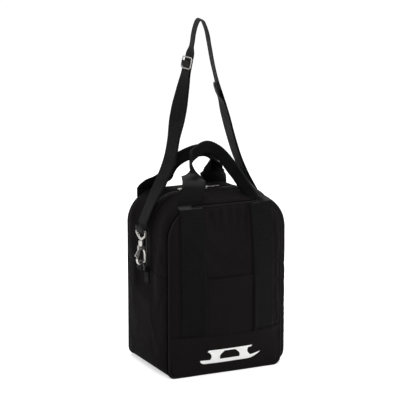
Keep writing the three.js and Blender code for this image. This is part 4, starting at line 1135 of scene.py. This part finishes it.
def emblem():
    """Printed skate blade: a runner with a turned-up toe, two posts and a top plate, on the lower panel."""
    low, high = box_mm("front_emblem")
    middle, half, base, tall = (low[0] + high[0]) / 2, (high[0] - low[0]) / 2, low[2], high[2] - low[2]
    heel_rise = lambda u: 5 * np.clip((-u - half + 10) / 10, 0, 1) ** 2
    toe_rise = lambda u: 12 * np.clip((u - half + 30) / 30, 0, 1) ** 2
    toe_top = lambda u: 4.6 * np.clip((u - half + 26) / 26, 0, 1) ** 1.5
    u, t = mesh_grid(-half, half, 0, 1, 90, 7)
    parts = [(u, (heel_rise(u) + toe_rise(u)) * (1 - t) + (RUNNER_HEIGHT + toe_top(u)) * t)]
    u, t = mesh_grid(*PLATE_ENDS, 0, 1, 60, 5)
    parts.append((u + 3 * t, tall - PLATE_HEIGHT * (1 - t)))
    for foot, head in POSTS:
        t, s = mesh_grid(0, 1, 0, 1, 16, 20)
        x0, x1 = foot[0] + (head[0] - foot[0]) * t, foot[1] + (head[1] - foot[1]) * t
        pinch = POST_PINCH * np.sin(math.pi * t)
        height = tall - RUNNER_HEIGHT - PLATE_HEIGHT - 0.6
        parts.append(((x0 + pinch) * (1 - s) + (x1 - pinch) * s, RUNNER_HEIGHT + 0.3 + height * t))
    meshes = []
    for u, rise_z in parts:
        x, z = middle + u, base + rise_z
        grid = stacked(x, -(panel_depth(x, z) + INK_THICKNESS + 0.05), z)
        flip = np.cross(grid[1, 0] - grid[0, 0], grid[0, 1] - grid[0, 0])[1] > 0
        meshes.append(sheet_arrays(grid, INK_THICKNESS, stacked(x, z), flip))
    make("blade_emblem_print", *joined(meshes), INK, "shell", "emblem", ["front_emblem"])


# ---- shoulder strap and hardware ----

TOP_TURN = 13.0  # degrees the top of the strap's loop is turned about the vertical
TOP_TURN_Z = (690, 716)  # where that turn takes over from the twist in the legs
BOW = 1.0  # how far the slack left leg bows inwards
BOW_Z, BOW_REACH = 460, 55  # the height of the bow and how far it spreads


def strap_turn(x, z):
    """Degrees the strap turns about its own length: left leg to the front, right leg edge on."""
    left = 9 * smoothstep(z, 345, 400) + 3 * smoothstep(z, 400, 440) + 15 * smoothstep(z, 485, 535)
    left = left - 15 * smoothstep(z, 550, 605) - 12 * smoothstep(z, ADJUSTER_Z - 56, LOOP_END_Z)
    left = left - TOP_TURN * smoothstep(z, ADJUSTER_Z + 16, ADJUSTER_Z + 36)
    right = TOP_TURN * smoothstep(z, 520, 625)
    return np.where(x < 0, left, right) * (1 - smoothstep(z, *TOP_TURN_Z))


def strap_grid(points, count, extra_turn=None, round_end=0.0):
    """Mid surface of a strap run drawn in X and Z, its width along Y and turned about its length."""
    flat = evenly(through(np.array(points, float), count), 2.6)
    x, z = flat.T
    turn = np.radians(strap_turn(x, z) + (extra_turn(z) if extra_turn else 0))[:, None]
    if flat[-1, 0] > 0 and flat[-1, 1] > flat[0, 1]:
        turn = -turn  # this run goes up the right leg
    x = x + np.where(x < 0, BOW, 0) * np.exp(-(((z - BOW_Z) / BOW_REACH) ** 2))
    swing = np.radians(TOP_TURN) * smoothstep(z, *TOP_TURN_Z)
    apex = STRAP_TOP[3][0]
    centres = stacked(apex + (x - apex) * np.cos(swing), -(x - apex) * np.sin(swing), z)
    tangent = unit(np.gradient(centres, axis=0))
    across = stacked(np.sin(swing), np.cos(swing), 0 * swing)
    across = unit(across - tangent * np.sum(across * tangent, axis=1, keepdims=True))
    across = across * np.cos(turn) + np.cross(tangent, across) * np.sin(turn)
    length = run_length(centres)
    q = np.linspace(-STRAP_WIDTH / 2, STRAP_WIDTH / 2, 11)
    narrow = np.ones(len(length))
    if round_end:
        left_over = np.clip((length[-1] - length) / round_end, 0.02, 1)
        narrow = np.sqrt(1 - (1 - left_over) ** 2)
    grid = centres[:, None] + across[:, None] * (q[None, :] * narrow[:, None])[..., None]
    return grid, stacked(q[None], length[:, None])


RING_X = (box_mm("right_ring")[0][0] + box_mm("right_ring")[1][0]) / 2
EYE_BAR_Z = box_mm("left_swivel_eye")[1][2] - 2.2
EYE_LOOP = 4.2  # radius of the strap's bend round a hook's eye
PLY = 2.3  # between the middles of two plies
SLIDE_LOW, SLIDE_HIGH = (-68.0, 500.0), (-27.0, 690.0)  # ends of the straight run the adjuster slides on
ADJUSTER_Z = sum(np.array(box_mm("strap_adjuster"))[:, 2]) / 2
PLY_SPLIT_Z = box_mm("strap_ply_upper")[0][2]
LOOP_END_Z = box_mm("strap_sewn_loop")[0][2]
GATHERED = (430, LOOP_END_Z - 8)  # heights between which the strap gathers as the adjuster slides down
SPREAD = (735, ADJUSTER_Z + 20)  # heights between which it spreads
LEFT_LEG = [(-132.5, 334), (-117, 367), (-96.5, 405), (-79.5, 446)]
STRAP_TOP = [
    (-23, 708.5), (-18, 727), (-13.5, 736), (-9, 738.6),
    (-4.5, 736), (0.5, 726), (6.5, 708), (11, 690),
]
RIGHT_LEG = [
    (20, 645), (30, 607), (37, 584), (52, 532), (64, 490),
    (79.5, 444), (98, 404), (119, 367), (135, 334),
]


def eye_loop(side):
    """The strap's bend round a hook's eye, from outside to inside."""
    angles = np.linspace(0, math.pi, 9)
    arc = [(side * (RING_X + math.cos(a) * EYE_LOOP), EYE_BAR_Z - math.sin(a) * EYE_LOOP) for a in angles]
    return [(side * (RING_X + EYE_LOOP), EYE_BAR_Z + 8)] + arc + [(side * (RING_X - EYE_LOOP), EYE_BAR_Z + 5)]


def offset(points, distance):
    """A run beside another, to the left of its direction."""
    p = np.array(points, float)
    direction = unit(np.gradient(p, axis=0))
    return np.stack([p[:, 0] - direction[:, 1] * distance, p[:, 1] + direction[:, 0] * distance], axis=1)


def slide_point(z):
    """The point at height z on the run the adjuster slides on."""
    share = (z - SLIDE_LOW[1]) / (SLIDE_HIGH[1] - SLIDE_LOW[1])
    return (SLIDE_LOW[0] + share * (SLIDE_HIGH[0] - SLIDE_LOW[0]), z)


def strap_piece(name, grid, uv, node, stretch=None):
    """A length of strap. Given stretch, it rides on no body and its transform is baked in; the two heights of
    stretch are not read.
    """
    body = None if stretch else "strap"
    piece = band(name, grid, uv, STRAP_THICKNESS, STRAP_MATERIAL, body, [node])
    if stretch:
        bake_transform(piece)


def straps():
    run = eye_loop(-1) + LEFT_LEG + [SLIDE_LOW, SLIDE_HIGH] + STRAP_TOP + RIGHT_LEG + eye_loop(1)[::-1]
    grid, uv = strap_grid(run, 1600)
    height = grid[:, grid.shape[1] // 2, 2]
    apex = int(np.argmax(height))
    middle = int(np.argmax(height > ADJUSTER_Z))
    for name, rows, stretch in (
        ("left", slice(middle + 1), GATHERED),
        ("rise", slice(middle, apex + 1), SPREAD),
        ("right", slice(apex, None), None),
    ):
        strap_piece(f"strap_{name}_webbing", grid[rows], uv[rows], "strap_main", stretch)
    split = slide_point(PLY_SPLIT_Z)
    lower = [(-RING_X + 3.2, EYE_BAR_Z + 15.5)] + offset(LEFT_LEG + [SLIDE_LOW, split], PLY).tolist()
    strap_piece("strap_lower_ply_webbing", *strap_grid(lower, 500), "strap_ply_lower", GATHERED)
    upper = offset([split, slide_point(ADJUSTER_Z - 17)], PLY)
    strap_piece("strap_upper_ply_webbing", *strap_grid(upper, 60), "strap_ply_upper", GATHERED)
    inner = RIGHT_LEG[::-1][:6] + [(42, 567)]
    tail = offset(inner, PLY).tolist() + [(31.5, 580), (26, 593), (24.0, 604)]
    grid, uv = strap_grid(tail, 500, lambda z: 8 * smoothstep(z, 545, 590), round_end=16)
    strap_piece("strap_fold_back_webbing", grid, uv, "strap_fold_back")


def hardware():
    for hand in ("left", "right"):
        for part in ("swivel_eye", "hook_body", "hook_gate"):
            cast(f"{hand}_{part}", NICKEL)
        for part in ("zip_slider", "zip_pull"):
            cast(f"{hand}_{part}", NICKEL, 0.35, 2)
        cast(f"{hand}_ring", RING_MATERIAL)
        cast(f"{hand}_gate_pin", NICKEL, 0.3, 1)
        cast(f"{hand}_ring_tab", WEBBING_MATERIAL, 0.5, 2)
    cast("strap_adjuster", NICKEL)
    cast("strap_sewn_loop", STRAP_MATERIAL)
    board = frame["nodes"]["base_board"]
    board.data.materials.clear()
    board.data.materials.append(BOARD_MATERIAL)


# ---- studio ----

FLOOR_HALF = 40.0
FLOOR_Z = -0.0004
FLOOR_GLOW = 0.56  # seen by the camera only, so the floor is as white as the background
WORLD_LIGHT, WORLD_SEEN = 0.5, 1.0
LAMPS = {
    "key": ((-1.15, -2.45, 2.2), 1.6, 46),
    "fill": ((2.4, -1.4, 1.3), 1.8, 24),
    "top": ((0.2, 0.6, 2.6), 1.6, 38),
}  # place in metres, size in metres, watts
LAMPS_AIM = (0, 0, 0.25)
CAMERA_AZIMUTH, CAMERA_ELEVATION, CAMERA_DISTANCE = -25.68, 11.98, 3780.5
CAMERA_TARGET = (-7.3, 3.5, 352.1)
CAMERA_LENS, CAMERA_SENSOR = 159.7, 36


def placed(name, data, place, direction):
    """An object in the scene at a place in metres, looking along a direction."""
    thing = bpy.data.objects.new(name, data)
    thing.location = place
    thing.rotation_euler = Vector(direction).to_track_quat("-Z", "Y").to_euler()
    link(thing)
    return thing


def floor():
    n = Nodes("studio_floor")
    n.finish(grey(0.9), n.ramp(n.noise(n.mapped(kind="Object"), 3.0), 0.5, 0.6))
    n.shader.inputs["Emission Color"].default_value = grey(1)
    seen = n.add("LightPath").outputs["Is Camera Ray"]
    n.put(n.shader, "Emission_Strength", n.times(seen, FLOOR_GLOW))
    mesh = bpy.data.meshes.new("floor")
    corners = [(x * FLOOR_HALF, y * FLOOR_HALF, 0) for x, y in ((-1, -1), (1, -1), (1, 1), (-1, 1))]
    mesh.from_pydata(corners, [], [(0, 1, 2, 3)])
    mesh.materials.append(n.material)
    plane = bpy.data.objects.new("floor", mesh)
    plane.location.z = FLOOR_Z
    link(plane)


def stage():
    floor()
    world = bpy.data.worlds.new("studio")
    world.use_nodes = True
    background = world.node_tree.nodes["Background"]
    background.inputs["Color"].default_value = grey(1)
    seen = world.node_tree.nodes.new("ShaderNodeLightPath").outputs["Is Camera Ray"]
    level = world.node_tree.nodes.new("ShaderNodeMapRange")
    level.inputs["To Min"].default_value = WORLD_LIGHT
    level.inputs["To Max"].default_value = WORLD_SEEN
    world.node_tree.links.new(seen, level.inputs["Value"])
    world.node_tree.links.new(level.outputs[0], background.inputs["Strength"])
    scene = bpy.context.scene
    scene.world = world
    scene.view_settings.view_transform = "Standard"
    scene.view_settings.exposure = 0.0
    for name, (place, size, power) in LAMPS.items():
        light = bpy.data.lights.new(name, "AREA")
        light.size = size
        light.energy = power
        placed(name, light, place, np.subtract(LAMPS_AIM, place))


def camera():
    """Three quarters from the left of the front, a little above, from nearly four metres away."""
    data = bpy.data.cameras.new("camera")
    data.lens = CAMERA_LENS
    data.sensor_width = CAMERA_SENSOR
    data.clip_end = 100
    azimuth, elevation = math.radians(CAMERA_AZIMUTH), math.radians(CAMERA_ELEVATION)
    flat = math.cos(elevation)
    back = np.array([math.sin(azimuth) * flat, -math.cos(azimuth) * flat, math.sin(elevation)])
    place = (np.array(CAMERA_TARGET) + back * CAMERA_DISTANCE) * MM
    bpy.context.scene.camera = placed("camera", data, place, -back)


panels()
gussets()
pipings()
pocket()
zip_parts()
handles()
stitches()
emblem()
straps()
hardware()
stage()
camera()
